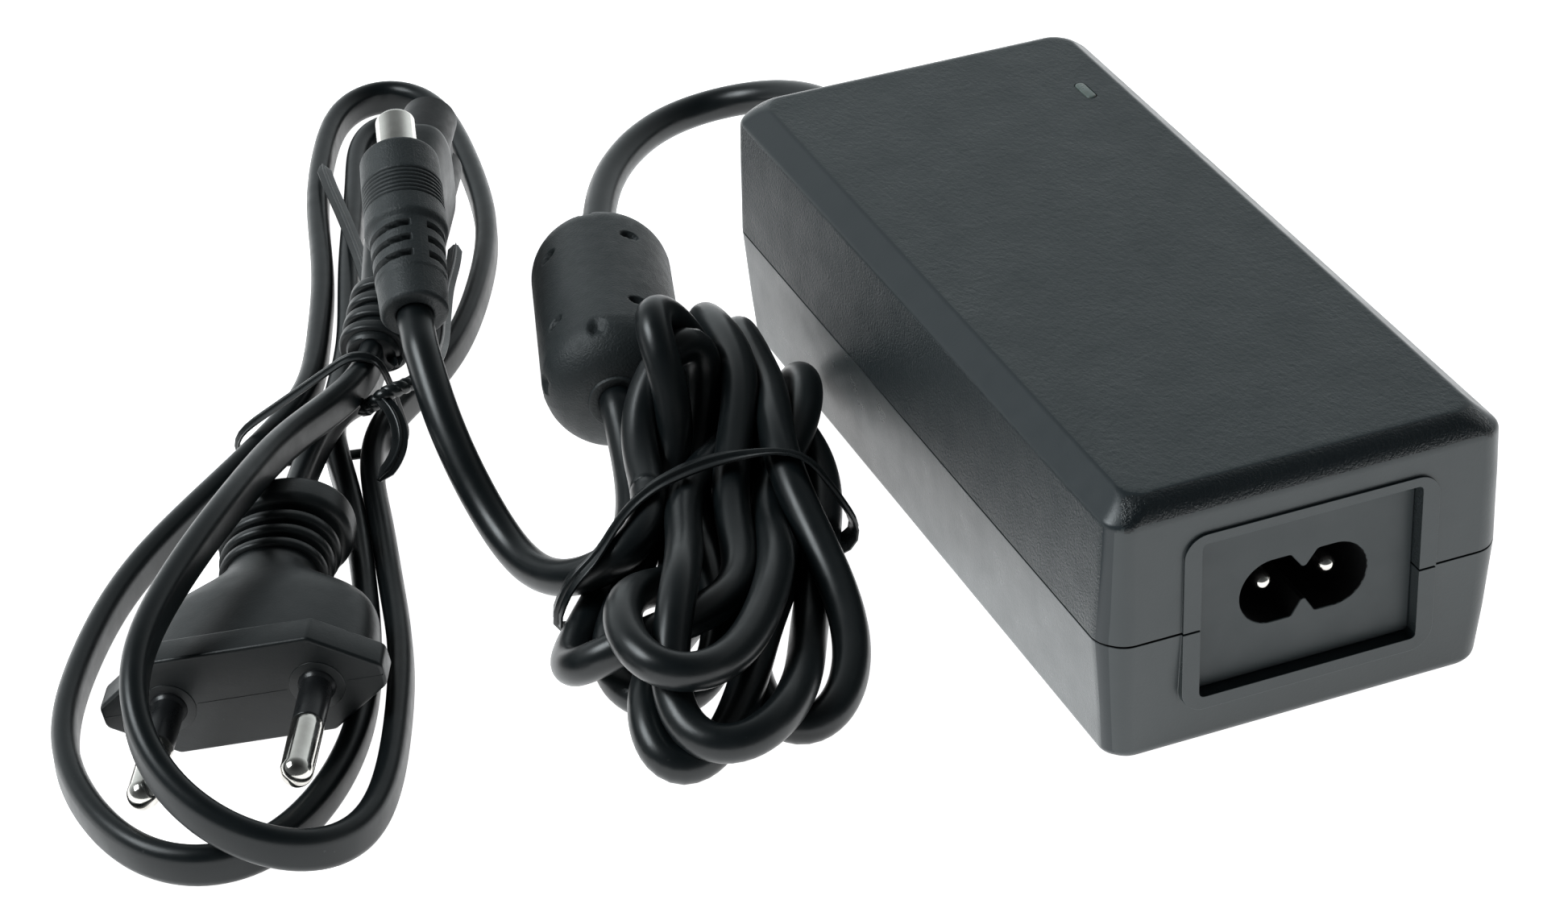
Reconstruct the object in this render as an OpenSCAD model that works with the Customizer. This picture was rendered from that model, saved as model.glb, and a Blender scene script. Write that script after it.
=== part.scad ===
// Laptop power adapter: a two-shell mains brick with its inlet, board and parts,
// a captive low-voltage lead with ferrite, coiled bundle and barrel plug, and a
// detachable mains lead with a figure-eight connector and a flat two-pin plug.
// Frame: origin at the centre of the brick's underside, +Z up, +Y towards the
// low-voltage cord exit, -Y towards the mains inlet.

/* [Brick] */
// Length of the brick along Y
case_l = 116.2; // [112:0.2:122]
// Width of the brick along X
case_w = 53.6; // [53:0.2:58]
// Height of the brick
case_h = 36.8; // [36:0.2:40]
// Height of the seam between the two shells
seam_z = 17.7; // [16:0.1:20]
// Wall thickness of the shells
wall = 2.2; // [1.8:0.1:2.4]
// Width of the sloped edge along the long top edges
top_chamfer_w = 3.2; // [2:0.1:4]
// Drop of the sloped edge along the long top edges
top_chamfer_h = 2.7; // [2:0.1:3.4]
// Size of the cut at the four upright corners
corner_cut = 2.5; // [1:0.1:3]
// Radius of the short top edges
end_round = 3.5; // [2:0.1:4]
// Inward slope of each upper side from the seam to the top
upper_draft = 0.67; // [0:0.01:1]
// Inward slope of each lower side from the seam to the underside
lower_draft = 1.4; // [0:0.05:1.6]

/* [Inlet] */
// Width of the opening for the mains inlet
opening_w = 29.2; // [28:0.1:30]
// Bottom of the inlet opening
opening_z0 = 8.0; // [7.8:0.1:9]
// Top of the inlet opening
opening_z1 = 29.7; // [28:0.1:30]
// Height of the two inlet pins
pin_z = 19.1; // [18:0.1:20]
// Distance between the two inlet pins
pin_pitch = 8.6; // [8.6:0.1:8.6]
// Radius of an inlet pin
pin_r = 1.2; // [1.2:0.1:1.2]

/* [Indicator] */
// Across position of the indicator window
led_x = 17.9; // [14:0.1:19]
// Lengthwise position of the indicator window
led_y = 38.4; // [34:0.1:44]

/* [Low-voltage lead] */
// Diameter of the round low-voltage cord
dc_d = 4.4; // [4.2:0.1:4.5]
// Outer diameter of the ferrite cover
ferrite_d = 19.6; // [19:0.1:20]
// Length of the ferrite cover
ferrite_l = 40; // [38:1:41]
// Outer radius of the plug's metal barrel
barrel_r = 2.75; // [2.75:0.05:2.75]
// Free length of the plug's metal barrel
barrel_l = 7.5; // [7:0.1:9.5]
// Outer diameter of the plug's moulded body
plug_d = 11.2; // [11:0.1:12]

/* [Mains lead] */
// Wide side of the flat mains cord
mains_h = 5.3; // [5:0.1:5.4]
// Narrow side of the flat mains cord
mains_w = 3.2; // [3:0.1:3.3]
// Width of the flat two-pin plug's face
euro_w = 35.3; // [35:0.1:36]
// Thickness of the flat two-pin plug's face
euro_t = 13.3; // [13:0.1:14]
// Free length of a plug pin
euro_pin_l = 19; // [18.5:0.1:19.5]
// Radius of a plug pin
euro_pin_r = 2.0; // [2:0.1:2]

/* [Hidden] */
hl = case_l / 2;
hw = case_w / 2;
pcb_z = 5.4;      // underside of the board
pcb_t = 1.6;
top_z = pcb_z + pcb_t;
face_y = -hl + 1.5; // recessed inlet face
dr = dc_d / 2;

// ---------------------------------------------------------------- curve rules
function unit(v) = v / norm(v);
// centripetal spline through the laid points, m steps a span
function spl(P, m) = let(n = len(P)) [
  for (i = [0:n - 2]) let(
    p0 = i > 0 ? P[i - 1] : 2 * P[0] - P[1], p1 = P[i], p2 = P[i + 1],
    p3 = i + 2 < n ? P[i + 2] : 2 * P[n - 1] - P[n - 2],
    a = sqrt(norm(p1 - p0) + 0.001), b = sqrt(norm(p2 - p1) + 0.001), c = sqrt(norm(p3 - p2) + 0.001),
    m1 = b * ((p1 - p0) / a - (p2 - p0) / (a + b) + (p2 - p1) / b),
    m2 = b * ((p2 - p1) / b - (p3 - p1) / (b + c) + (p3 - p2) / c))
  for (k = [0:m - 1]) let(t = k / m, t2 = t * t, t3 = t2 * t)
    (2 * t3 - 3 * t2 + 1) * p1 + (t3 - 2 * t2 + t) * m1 + (3 * t2 - 2 * t3) * p2 + (t3 - t2) * m2,
  P[n - 1]];
function cum(P, i = 1, a = [0]) = i >= len(P) ? a : cum(P, i + 1, concat(a, [a[i - 1] + norm(P[i] - P[i - 1])]));
function seek(d, s, lo, hi) = hi - lo <= 1 ? lo : let(m = floor((lo + hi) / 2)) d[m] <= s ? seek(d, s, m, hi) : seek(d, s, lo, m);
// even steps of about ds along a polyline
function even(P, ds) = let(d = cum(P), L = d[len(d) - 1], n = round(L / ds))
  [for (k = [0:n]) let(s = L * k / n, i = seek(d, s, 0, len(d) - 1), t = (s - d[i]) / max(1e-9, d[i + 1] - d[i]))
    P[i] + (P[i + 1] - P[i]) * t];
function vsum(v) = len(v) > 0 ? [for (k = v) 1] * v : [0, 0, 0];
// lift of the floor under a tie: a cord is raised where the band passes below it
function lift(p, w) = w[3] * exp(-pow(norm([p.x - w[0], p.y - w[1]] * w[2]), 2));
function capush(p, c) = let(ab = c[1] - c[0], t = min(1, max(0, ((p - c[0]) * ab) / (ab * ab))),
  v = p - (c[0] + t * ab), d = norm(v)) d < c[2] ? v * ((c[2] - d) / (d + 1e-6)) : [0, 0, 0];
// settling rule: turns of the cord nearer than one diameter push each other apart,
// stiffness keeps the curve smooth and the floor holds it up
function near(P, D, skip) = let(n = len(P)) [for (i = [0:n - 1])
  [for (j = [0:n - 1]) if (abs(i - j) > skip && norm(P[j] - P[i]) < D) j]];
function push(P, N, D, c) = [for (i = [0:len(P) - 1])
  vsum([for (j = N[i]) let(d = P[j] - P[i], l = norm(d) + 1e-6) if (l < D) d * ((l - D) / l * 0.5)])
  + (i > 6 && len(c) > 0 ? capush(P[i], c) : [0, 0, 0])];
function relax(P, N, D, r, xm, w, c) = let(n = len(P), f = push(P, N, D, c),
  l = [for (i = [0:n - 1]) i > 0 && i < n - 1 ? P[i - 1] + P[i + 1] - 2 * P[i] : [0, 0, 0]])
  [for (i = [0:n - 1]) i < 3 || i > n - 4 ? P[i] :
    let(s = P[i] + (f[i - 1] + 2 * f[i] + f[i + 1]) / 4 - 0.08 * (l[i - 1] - 2 * l[i] + l[i + 1]))
    [min(s.x, xm), s.y, max(s.z, r + lift(s, w))]];
function settle(P, N, n, D, skip, r, xm, w, c) = n == 0 ? P :
  let(M = n % 15 == 0 ? near(P, D + 7, skip) : N)
  settle(relax(P, M, D, r, xm, w, c), M, n - 1, D, skip, r, xm, w, c);

// rings of a cord: section points [u, v] with v kept as near upright as it can be
function tang(P, i) = unit(P[min(i + 1, len(P) - 1)] - P[max(i - 1, 0)]);
function ring(p, t, S, k) = let(a = unit(cross([0, 0, 1], t)), b = cross(t, a)) [for (s = S) p + a * (s[0] * k) + b * (s[1] * k)];
module cord(P, S, cap0 = false, cap1 = false, r = 2.2) {
  n = len(P); m = len(S);
  // rounded ends: extra rings that shrink along the end tangent
  A = cap0 ? [for (q = [80, 50, 25]) [P[0] - tang(P, 0) * (r * sin(q)), cos(q), 0]] : [];
  B = cap1 ? [for (q = [25, 50, 80]) [P[n - 1] + tang(P, n - 1) * (r * sin(q)), cos(q), n - 1]] : [];
  C = concat(A, [for (i = [0:n - 1]) [P[i], 1, i]], B);
  k = len(C);
  V = [for (c = C) each ring(c[0], tang(P, c[2]), S, c[1])];
  F = concat([[for (j = [0:m - 1]) j]],
    [for (i = [0:k - 2]) for (j = [0:m - 1]) let(a = i * m + j, b = i * m + (j + 1) % m, c = a + m, d = b + m) each [[a, c, d], [a, d, b]]],
    [[for (j = [m - 1:-1:0]) (k - 1) * m + j]]);
  polyhedron(V, F, convexity = 12);
}
function disc(r, n) = [for (i = [0:n - 1]) let(a = (i + 0.5) * 360 / n) [cos(a) * r, sin(a) * r] / cos(180 / n) * 0.995];
// flat cord section standing on edge: two half-round edges and flat sides
function flat8(w, h) = [for (p = [[0.5, -0.26], [0.5, 0.26], [0.28, 0.47], [-0.28, 0.47], [-0.5, 0.26], [-0.5, -0.26], [-0.28, -0.47], [0.28, -0.47]]) [p[0] * w, p[1] * h]];

// band round a waist: outline of all strands in an upright plane, offset outwards
function polarhull(Q, rx, rz, g, n) = let(
  H = [for (i = [0:n - 1]) let(f = i * 360 / n, u = [cos(f), sin(f)])
    max([for (q = Q) q * u]) + sqrt(pow(rx * u[0], 2) + pow(rz * u[1], 2)) + g])
  [for (i = [0:n - 1]) let(f = i * 360 / n,
    R = min([for (j = [0:n - 1]) let(d = abs(((j - i) * 360 / n + 540) % 360 - 180)) if (d < 75) H[j] / cos(d)])) [cos(f), sin(f)] * R];
module band(Q, c, a, w, t) {
  // Q outline points, c centre, a across direction, w band width, t thickness
  m = cross(a, [0, 0, 1]); n = len(Q);
  V = [for (q = Q) each [for (s = [[0, -1], [0, 1], [1, 1], [1, -1]]) let(k = 1 + s[0] * t / norm(q)) c + a * (q[0] * k) + [0, 0, q[1] * k] + m * (s[1] * w / 2)]];
  F = [for (i = [0:n - 1]) for (j = [0:3]) let(p = i * 4 + j, q = i * 4 + (j + 1) % 4, r = ((i + 1) % n) * 4 + j, s = ((i + 1) % n) * 4 + (j + 1) % 4) each [[p, q, s], [p, s, r]]];
  polyhedron(V, F, convexity = 6);
}
// strands of a cord that cross the band's plane, seen in that plane
function crossing(P, c, a, span) = let(m = cross(a, [0, 0, 1])) [for (i = [0:len(P) - 1]) let(d = P[i] - c)
  if (abs(d * m) < 4 && abs(d * a) < span) [d * a, d.z]];

// ------------------------------------------------------- low-voltage cord route
// Each row is one pass or one end of the coil, laid turn by turn: [x, y, height].
coil_route = concat(
  [[-53, 36.4, 10], [-55, 29.6, 10], [-57, 22, 5], [-58, 14, 3]],                            // out of the ferrite, to the waist
  [[-63, 2, 2.4], [-71, -7, 2.4], [-77, -14, 2.4], [-77, -21, 2.6], [-72, -22, 4], [-65, -19, 6], [-59, -15, 7]], // low end 1
  [[-53, -8, 9], [-50, 3, 10.5], [-45, 18, 10]],
  [[-40, 37, 9.5], [-37, 47, 9], [-34, 50, 8], [-33, 47, 5]],                           // high end 1
  [[-38, 28, 2.4], [-43, 13, 3]],
  [[-49, -5, 2.4], [-56, -21, 2.4], [-60, -34, 2.4], [-59, -41, 2.4], [-55, -38, 2.6], [-50, -28, 3.5], [-46, -18, 4.5], [-44, -10, 7]], // low end 2
  [[-44, 1, 9], [-41, 13, 9.5]],
  [[-37, 30, 9], [-34, 42, 9], [-30, 47, 8], [-29, 41, 7], [-32, 30, 6]],               // high end 2
  [[-37, 16, 6.2], [-41, 3, 6.2]],
  [[-46, -9, 4], [-51, -22, 3.5], [-57, -33, 3], [-64, -41, 2.5], [-70, -45, 2.4], [-72, -41, 2.4], [-71, -35, 4], [-68, -29, 7], [-64, -19, 8]], // low end 3
  [[-59, -8, 9.5], [-55, 1, 10.5], [-51, 16, 9]],
  [[-44, 34, 7], [-39, 47, 5], [-37, 50, 3], [-40, 39, 2.4]],                           // high end 3
  [[-44, 24, 2.4], [-48, 11, 3]],
  [[-55, -2, 2.4], [-63, -14, 2.4], [-70, -24, 2.4], [-75, -33, 2.4], [-75, -39, 2.4], [-71, -40, 2.4], [-63, -33, 2.4], [-55, -20, 2.6], [-48, -6, 2.6]], // low end 4
  [[-42, 8, 3], [-36, 23, 2.4]],
  [[-31, 35, 3], [-29, 40, 4.5], [-30, 34, 6], [-34, 24, 6.2]],                         // high end 4
  [[-41, 11, 9], [-48, -2, 10.5]],
  [[-51, -11, 9], [-58, -22, 8.5], [-65, -30, 8], [-72, -37, 7], [-74, -35, 5.5], [-73, -29, 5], [-68, -20, 5], [-62, -8, 4]], // low end 5
  [[-57, 6, 3.5], [-53, 20, 2.4]],
  [[-51, 32, 4], [-54, 32, 11], [-58, 25, 19], [-57, 25, 21], [-53, 29, 14], [-52, 26, 7.5]], // high end 5, over the ferrite
  [[-54, 14, 6.2], [-58, 1, 6]],
  [[-63, -7, 3], [-69, -15, 2.5], [-73, -21, 2.4], [-72, -25, 2.4], [-67, -22, 3.5], [-61, -11, 4.5]], // low end 6
  [[-57, -2, 6.2], [-52, 11, 6.2]],
  [[-48, 25, 7], [-48, 30, 14], [-50, 28, 21], [-53, 28, 22.4], [-54, 28, 19], [-54, 28, 12]], // high end 6, over the ferrite
  [[-56, 14, 10.5], [-59, 3, 10.5]],
  // out of the coil and up to the barrel plug
  [[-60, -2, 7.5], [-62, -4, 5], [-66, -5, 3.6], [-69, -1, 2.8], [-72, 6, 3], [-74, 14, 4], [-76, 19, 6.5],
   [-77, 24, 9.5], [-79, 28, 13.5], [-79, 34, 17.5], [-78, 41, 20], [-77, 46, 21.4]]);
ferrite_far = [-43, 70, 10];
ferrite_near = [-54.3, 32, 10];
coil_waist = [-50.5, 6];
tie_dir = [1, 0, 0];
function coil_all() = settle(even(spl(coil_route, 8), 4), [], 90, dc_d + 0.4, 3, dr + 0.05, -hw - dr - 0.5,
  [coil_waist[0], coil_waist[1], [[0.02, 0], [0, 0.12]], 1.1], [ferrite_far, ferrite_near, ferrite_d / 2 + dr + 0.3]);
// number of steps before the end at which the cord leaves the coil's body
tail_steps = 17;
start_route = [[0, 66, 17.7], [0, 76, 17.6], [0, 86, 16.6], [-2, 95, 14.8], [-5, 101.5, 12.5], [-9, 105, 11]];
lead_route = [[-15.6, 106.2, 10], [-21, 104, 10], [-26.5, 100, 10], [-31.5, 94.5, 10], [-35.5, 88.5, 10], [-38.5, 82, 10], [-41, 76, 10], [-42.6, 71, 10]];

// ---------------------------------------------------------------- mains cord route
mains_route = [
  [-79.8, 56.6, 13], [-81.6, 53.2, 12.6], [-84.4, 48.6, 12.4], [-88.6, 43.6, 12.9], [-94, 38.5, 14.3], [-103, 26.6, 17.6], [-112.2, 13, 20.2], [-119.3, 4.2, 20.6],   // connector end, first strand over the plug
  [-125, -4, 20], [-131, -14, 19], [-133, -20, 17], [-133, -25, 13.5], [-129, -32, 9.5], [-124, -38, 8.5], [-118, -39, 5],
  [-111, -34, 2.7], [-105, -25, 2.7], [-100, -13, 2.7], [-95, 1, 2.7], [-93, 13, 2.7], [-89, 28, 2.7], [-87, 40, 2.7],
  [-83, 48, 2.7], [-79, 53, 2.7], [-73, 59, 2.7], [-66, 67, 2.7], [-59, 79, 2.7], [-52, 94, 2.7], [-48, 111, 2.7],          // outer high loop
  [-46, 129, 2.7], [-47, 142, 2.7], [-51, 148, 2.7], [-57, 145, 2.7], [-64, 134, 2.7], [-71, 117, 2.7], [-76, 98, 2.7],
  [-81, 82, 2.7], [-86, 70, 2.7], [-90, 60, 2.7], [-96, 55, 2.7], [-103, 48, 2.7], [-111, 41, 2.7], [-120, 32, 2.7],        // outer low loop
  [-127, 23, 2.7], [-133, 12, 2.7], [-138, 1, 2.7], [-139.5, -9, 2.7], [-138, -20, 2.7], [-134, -30, 2.7], [-127, -34, 2.7],
  [-120, -31, 2.7], [-114, -26, 2.7], [-108, -19, 2.7], [-103, -9, 2.7], [-99, 2, 2.7], [-95, 16, 2.7], [-92, 30, 2.7],
  [-90, 42, 2.7], [-87, 52, 2.7], [-84, 61, 2.7], [-80, 72, 2.7], [-76, 85, 2.7], [-70, 103, 2.7], [-63, 122, 2.7],         // inner high loop
  [-58, 134, 2.7], [-54, 138, 2.7], [-51, 132, 2.7], [-52, 123, 2.7], [-57, 108, 2.7], [-63, 92, 2.7], [-71, 78, 2.7],
  [-78, 68, 2.7], [-83, 58, 2.7], [-89, 47, 4.4], [-96, 37, 7.8], [-99.2, 30.8, 8.7], [-101.3, 26.3, 8.6], [-103.4, 21.8, 8.6]];                                                // to the two-pin plug
mk = mains_w / mains_h;
mains_waist = [-87, 50];
mains_tie_dir = unit([0.95, -0.3, 0]);
function mains_all() = [for (p = settle(even(spl([for (p = mains_route) [p.x, p.y, p.z * mk]], 8), 3), [], 90, mains_w + 0.25, 3,
  mains_w / 2 + 0.03, 1000, [mains_waist[0], mains_waist[1], [[0.1, 0], [0, 0.1]], 0.75], [])) [p.x, p.y, p.z / mk]];

// ------------------------------------------------------------------------ brick
module yprofile(pts) { rotate([90, 0, 0]) translate([0, 0, -hl]) linear_extrude(case_l) polygon(pts); }
module plan_block(c, z0, z1, in = 0) {
  x = hw - in; y = hl - in; k = c;
  translate([0, 0, z0]) linear_extrude(z1 - z0) polygon([[x - k, -y], [x, -y + k], [x, y - k], [x - k, y], [-x + k, y], [-x, y - k], [-x, -y + k], [-x + k, -y]]);
}
function arc(cx, cy, r, a0, a1, n) = [for (i = [0:n]) let(a = a0 + (a1 - a0) * i / n) [cx + r * cos(a), cy + r * sin(a)]];
module side_profile(pts) { rotate([90, 0, 90]) translate([0, 0, -hw]) linear_extrude(case_w) polygon(pts); }
module led_slot(r, l, z0, z1) {
  for (s = [-1, 1]) translate([led_x, led_y + s * (l / 2 - r), z0]) cylinder(r = r, h = z1 - z0, $fn = 48);
  translate([led_x - r, led_y - l / 2 + r, z0]) cube([2 * r, l - 2 * r, z1 - z0]);
}
module opening_block(g, y0, y1) {
  translate([-opening_w / 2 - g, y0, opening_z0 - g]) cube([opening_w + 2 * g, y1 - y0, opening_z1 - opening_z0 + 2 * g]);
}
module upper_case() {
  color([0.045, 0.05, 0.055]) difference() {
    union() {
      intersection() {
        yprofile([[-hw, seam_z], [hw, seam_z], [hw - upper_draft, case_h - top_chamfer_h], [hw - upper_draft - top_chamfer_w, case_h],
          [-hw + upper_draft + top_chamfer_w, case_h], [-hw + upper_draft, case_h - top_chamfer_h]]);
        plan_block(corner_cut, seam_z, case_h + 1);
        side_profile(concat([[-hl, seam_z], [hl, seam_z]], arc(hl - end_round, case_h - end_round, end_round, 0, 90, 10),
          arc(-hl + end_round, case_h - end_round, end_round, 90, 180, 10)));
      }
      // raised frame round the inlet opening
      translate([-16.9, -hl - 0.4, seam_z]) cube([33.8, 0.6, 13.3]);
    }
    // cavity
    difference() {
      translate([-hw + wall + 0.6, -hl + wall, seam_z - 1]) cube([case_w - 2 * wall - 1.2, case_l - 2 * wall, case_h - wall - seam_z + 1]);
      for (s = [-1, 1]) translate([s * (hw - wall - 2.2), 0, case_h - wall - 1.6]) rotate([0, s * 40, 0]) translate([-3, -hl, 0]) cube([6, case_l, 5]);
    }
    opening_block(0, -hl - 1, -hl + wall + 1);
    led_slot(0.85, 4.9, case_h - wall - 1, case_h + 1);
    // half of the cord exit
    translate([0, hl + 1, seam_z]) rotate([90, 0, 0]) cylinder(r = 4.6, h = wall + 2, $fn = 64);
    // rebate for the lower shell's tongue
    difference() {
      translate([-hw + 1.15, -hl + 1.15, seam_z - 1]) cube([case_w - 2.3, case_l - 2.3, 2.6]);
    }
  }
}
module lower_case() {
  r = 1.6;
  color([0.05, 0.055, 0.06]) difference() {
    union() {
      intersection() {
        yprofile(concat([[hw, seam_z], [-hw, seam_z]], arc(-hw + lower_draft + r, r, r, 184, 270, 6), arc(hw - lower_draft - r, r, r, 270, 356, 6)));
        plan_block(corner_cut, -1, seam_z);
        side_profile(concat([[hl, seam_z], [-hl, seam_z]], arc(-hl + lower_draft + r, r, r, 184, 270, 6), arc(hl - lower_draft - r, r, r, 270, 356, 6)));
      }
      translate([-16.9, -hl - 0.4, 6.3]) cube([33.8, 1.6, seam_z - 6.3]);
      // tongue standing up inside the upper shell
      difference() {
        translate([-hw + 1.3, -hl + 1.3, seam_z - 2]) cube([case_w - 2.6, case_l - 2.6, 3.4]);
        opening_block(0.2, -hl - 1, -hl + wall + 2);
      }
    }
    translate([-hw + wall + 0.6, -hl + wall, wall]) cube([case_w - 2 * wall - 1.2, case_l - 2 * wall, case_h]);
    opening_block(0, -hl - 1, -hl + wall + 1);
    translate([0, hl + 1, seam_z]) rotate([90, 0, 0]) cylinder(r = 4.6, h = wall + 2, $fn = 64);
    // shallow pocket for the label on the underside
    translate([-20, -44, -1]) cube([40, 88, 1.25]);
  }
  // board posts
  color([0.05, 0.055, 0.06]) for (x = [-20, 20]) for (y = [-28, 50]) translate([x, y, wall - 0.01]) difference() {
    cylinder(r = 2.2, h = pcb_z - wall - 0.55, $fn = 48);
    translate([0, 0, 0.5]) cylinder(r = 0.8, h = 5, $fn = 32);
  }
}
module rating_label() { color([0.55, 0.56, 0.57]) translate([-19.8, -43.8, 0]) cube([39.6, 87.6, 0.18]); }
module figure8(g, d, y0) {
  // shrouded two-pole cavity with a notch between the lobes
  translate([0, y0, pin_z]) rotate([-90, 0, 0]) {
    for (s = [-1, 1]) translate([s * 4.15, 0, 0]) cylinder(r = 4.3 + g, h = d, $fn = 64);
    translate([-2.4, -3.1 - g, 0]) cube([4.8, 6.2 + 2 * g, d]);
  }
}
module inlet_housing() {
  color([0.03, 0.03, 0.032]) difference() {
    union() {
      opening_block(-0.1, face_y, -hl + wall - 0.0);
      translate([-13.8, -hl + wall, top_z + 0.15]) cube([27.6, 15, 22]);
    }
    figure8(0, 11.8, face_y - 0.5);
    // chamfered mouth
    figure8(0.45, 1.0, face_y - 0.5);
    for (s = [-1, 1]) translate([s * pin_pitch / 2, face_y, pin_z]) rotate([-90, 0, 0]) cylinder(r = pin_r - 0.3, h = 30, $fn = 48);
  }
}
module inlet_pins() {
  color([0.75, 0.74, 0.72]) for (s = [-1, 1]) translate([s * pin_pitch / 2, -hl + 3.0 + pin_r, pin_z]) {
    rotate([-90, 0, 0]) cylinder(r = pin_r, h = 8.6, $fn = 48);
    translate([0, 8.6, 0]) rotate([-90, 0, 0]) cylinder(r = pin_r - 0.3, h = 8, $fn = 48);
    intersection() {
      sphere(r = pin_r, $fn = 48);
      translate([-2, -2, -2]) cube([4, 2, 4]);
    }
  }
}
module inlet_terminals() {
  color([0.7, 0.6, 0.35]) for (s = [-1, 1]) translate([s * pin_pitch / 2, -hl + 20.9, 0]) difference() {
    union() {
      translate([-1.6, 0, 4.2]) cube([3.2, 0.6, pin_z + 2.2 - 4.2]);
    }
  }
}
module led_window() { color([0.32, 0.36, 0.33]) { led_slot(0.75, 4.7, case_h - wall - 0.4, case_h + 0.12); translate([led_x - 1.6, led_y - 3.1, case_h - wall - 1.6]) cube([3.2, 6.2, 1.5]); } }
module indicator_led() {
  color([0.8, 0.85, 0.8]) translate([led_x, led_y, 0]) {
    translate([0, 0, 27]) cylinder(r = 1.5, h = 4.2, $fn = 32);
    translate([0, 0, 31.2]) intersection() { sphere(r = 1.5, $fn = 32); translate([-2, -2, 0]) cube([4, 4, 2]); }
    translate([0, 0, 26]) cylinder(r = 1.9, h = 1, $fn = 32);
    for (s = [-1, 1]) translate([-0.25, s * 1.27 - 0.25, 4.4]) cube([0.5, 0.5, 21.6]);
  }
}
module main_board() {
  color([0.1, 0.25, 0.13]) difference() {
    translate([-23, -54.5, pcb_z]) cube([46, 109, pcb_t]);
    for (x = [-20, 20]) for (y = [-28, 50]) translate([x, y, pcb_z - 1]) cylinder(r = 1.1, h = 4, $fn = 32);
    for (s = [-1, 1]) translate([s * pin_pitch / 2 - 1.7, -hl + 20.8, pcb_z - 1]) cube([3.4, 0.8, 4]);
    translate([led_x - 0.35, led_y - 1.7, pcb_z - 1]) cube([0.7, 3.4, 4]);
    translate([-6, -7, pcb_z - 1]) cube([1.2, 34, 4]);  // isolation slot
  }
}
module fuse() { color([0.35, 0.2, 0.12]) translate([18.5, -33, top_z + 0.05]) { cylinder(r = 4.2, h = 7.6, $fn = 48); } }
module varistor() {
  color([0.12, 0.3, 0.6]) translate([-18.5, -37.5, top_z + 7.2]) rotate([0, 90, 0]) translate([0, 0, -1.9]) cylinder(r = 5.6, h = 3.8, $fn = 48);
  color([0.7, 0.7, 0.7]) for (s = [-1, 1]) translate([-18.5, -37.5 + s * 2.5, pcb_z + 1.65]) cylinder(r = 0.4, h = 3.2, $fn = 24);
}
module x_capacitor() { color([0.75, 0.65, 0.2]) translate([-9.2, -35.4, top_z + 0.05]) cube([18, 8.4, 15]); }
module choke_core() { color([0.16, 0.2, 0.16]) translate([-12.6, -18.5, top_z + 9.6]) rotate([90, 0, 0]) translate([0, 0, -3.5]) difference() { cylinder(r = 8, h = 7, $fn = 64); translate([0, 0, -1]) cylinder(r = 4.4, h = 9, $fn = 64); } }
module choke_windings() {
  // wire turns wound through the ring, one open ring of wire per turn
  color([0.72, 0.36, 0.14]) translate([-12.6, -18.5, top_z + 9.6]) for (s = [0, 180]) for (i = [-2:2]) rotate([0, s + i * 21, 0]) translate([6.2, 0, 0])
    difference() { cube([4.9, 8.6, 0.8], center = true); cube([3.7, 7.3, 2], center = true); }
}
module bridge_rectifier() {
  color([0.06, 0.06, 0.06]) translate([6, -21.2, top_z + 3]) cube([15.5, 3.4, 14]);
  color([0.75, 0.75, 0.75]) for (i = [0:3]) translate([7.6 + i * 4, -19.9, top_z + 0.05]) cube([0.9, 0.8, 3.1]);
}
module bulk_capacitor() {
  // lies across the board behind the bridge
  color([0.08, 0.1, 0.28]) translate([-4.2, -5.9, top_z + 8.3]) rotate([0, 90, 0]) difference() {
    cylinder(r = 8, h = 25, $fn = 64);
    translate([0, 0, 21.8]) difference() { cylinder(r = 9, h = 1, $fn = 64); translate([0, 0, -1]) cylinder(r = 7.5, h = 3, $fn = 64); }
  }
}
module primary_heatsink() { color([0.75, 0.76, 0.78]) difference() { translate([-22.6, -8, top_z + 0.1]) cube([1.6, 34, 21]); translate([-25, -1, top_z + 14.45]) rotate([0, 90, 0]) cylinder(r = 1.7, h = 10, $fn = 32); for (y = [10, 22]) translate([-25, y, top_z + 17]) rotate([0, 90, 0]) cylinder(r = 1.5, h = 10, $fn = 32); } }
module to220(c = [0.05, 0.05, 0.05]) {
  // plastic package with a hole in its tab and three legs; flat back on x = 0
  color(c) difference() { translate([0, -5, 4]) cube([4.2, 10, 15.2]); translate([-1, 0, 14.4]) rotate([0, 90, 0]) cylinder(r = 1.7, h = 10, $fn = 32); }
  color([0.75, 0.75, 0.75]) for (i = [-1:1]) translate([1.8, i * 2.54 - 0.4, 0]) cube([0.6, 0.8, 4.1]);
}
module primary_transistor() { translate([-20.9, -1, top_z + 0.05]) to220(); }
module transformer_core() {
  color([0.14, 0.14, 0.15]) translate([-2.6, 16, top_z + 2.1]) difference() {
    translate([-13, -10, 0]) cube([26, 20, 20]);
    translate([-9.4, -14, 3.4]) cube([18.8, 28, 13.2]);
    // the centre leg stays
  }
  color([0.14, 0.14, 0.15]) translate([-2.6, 16, top_z + 5.4]) cylinder(r = 4.4, h = 13.4, $fn = 48);
}
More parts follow.
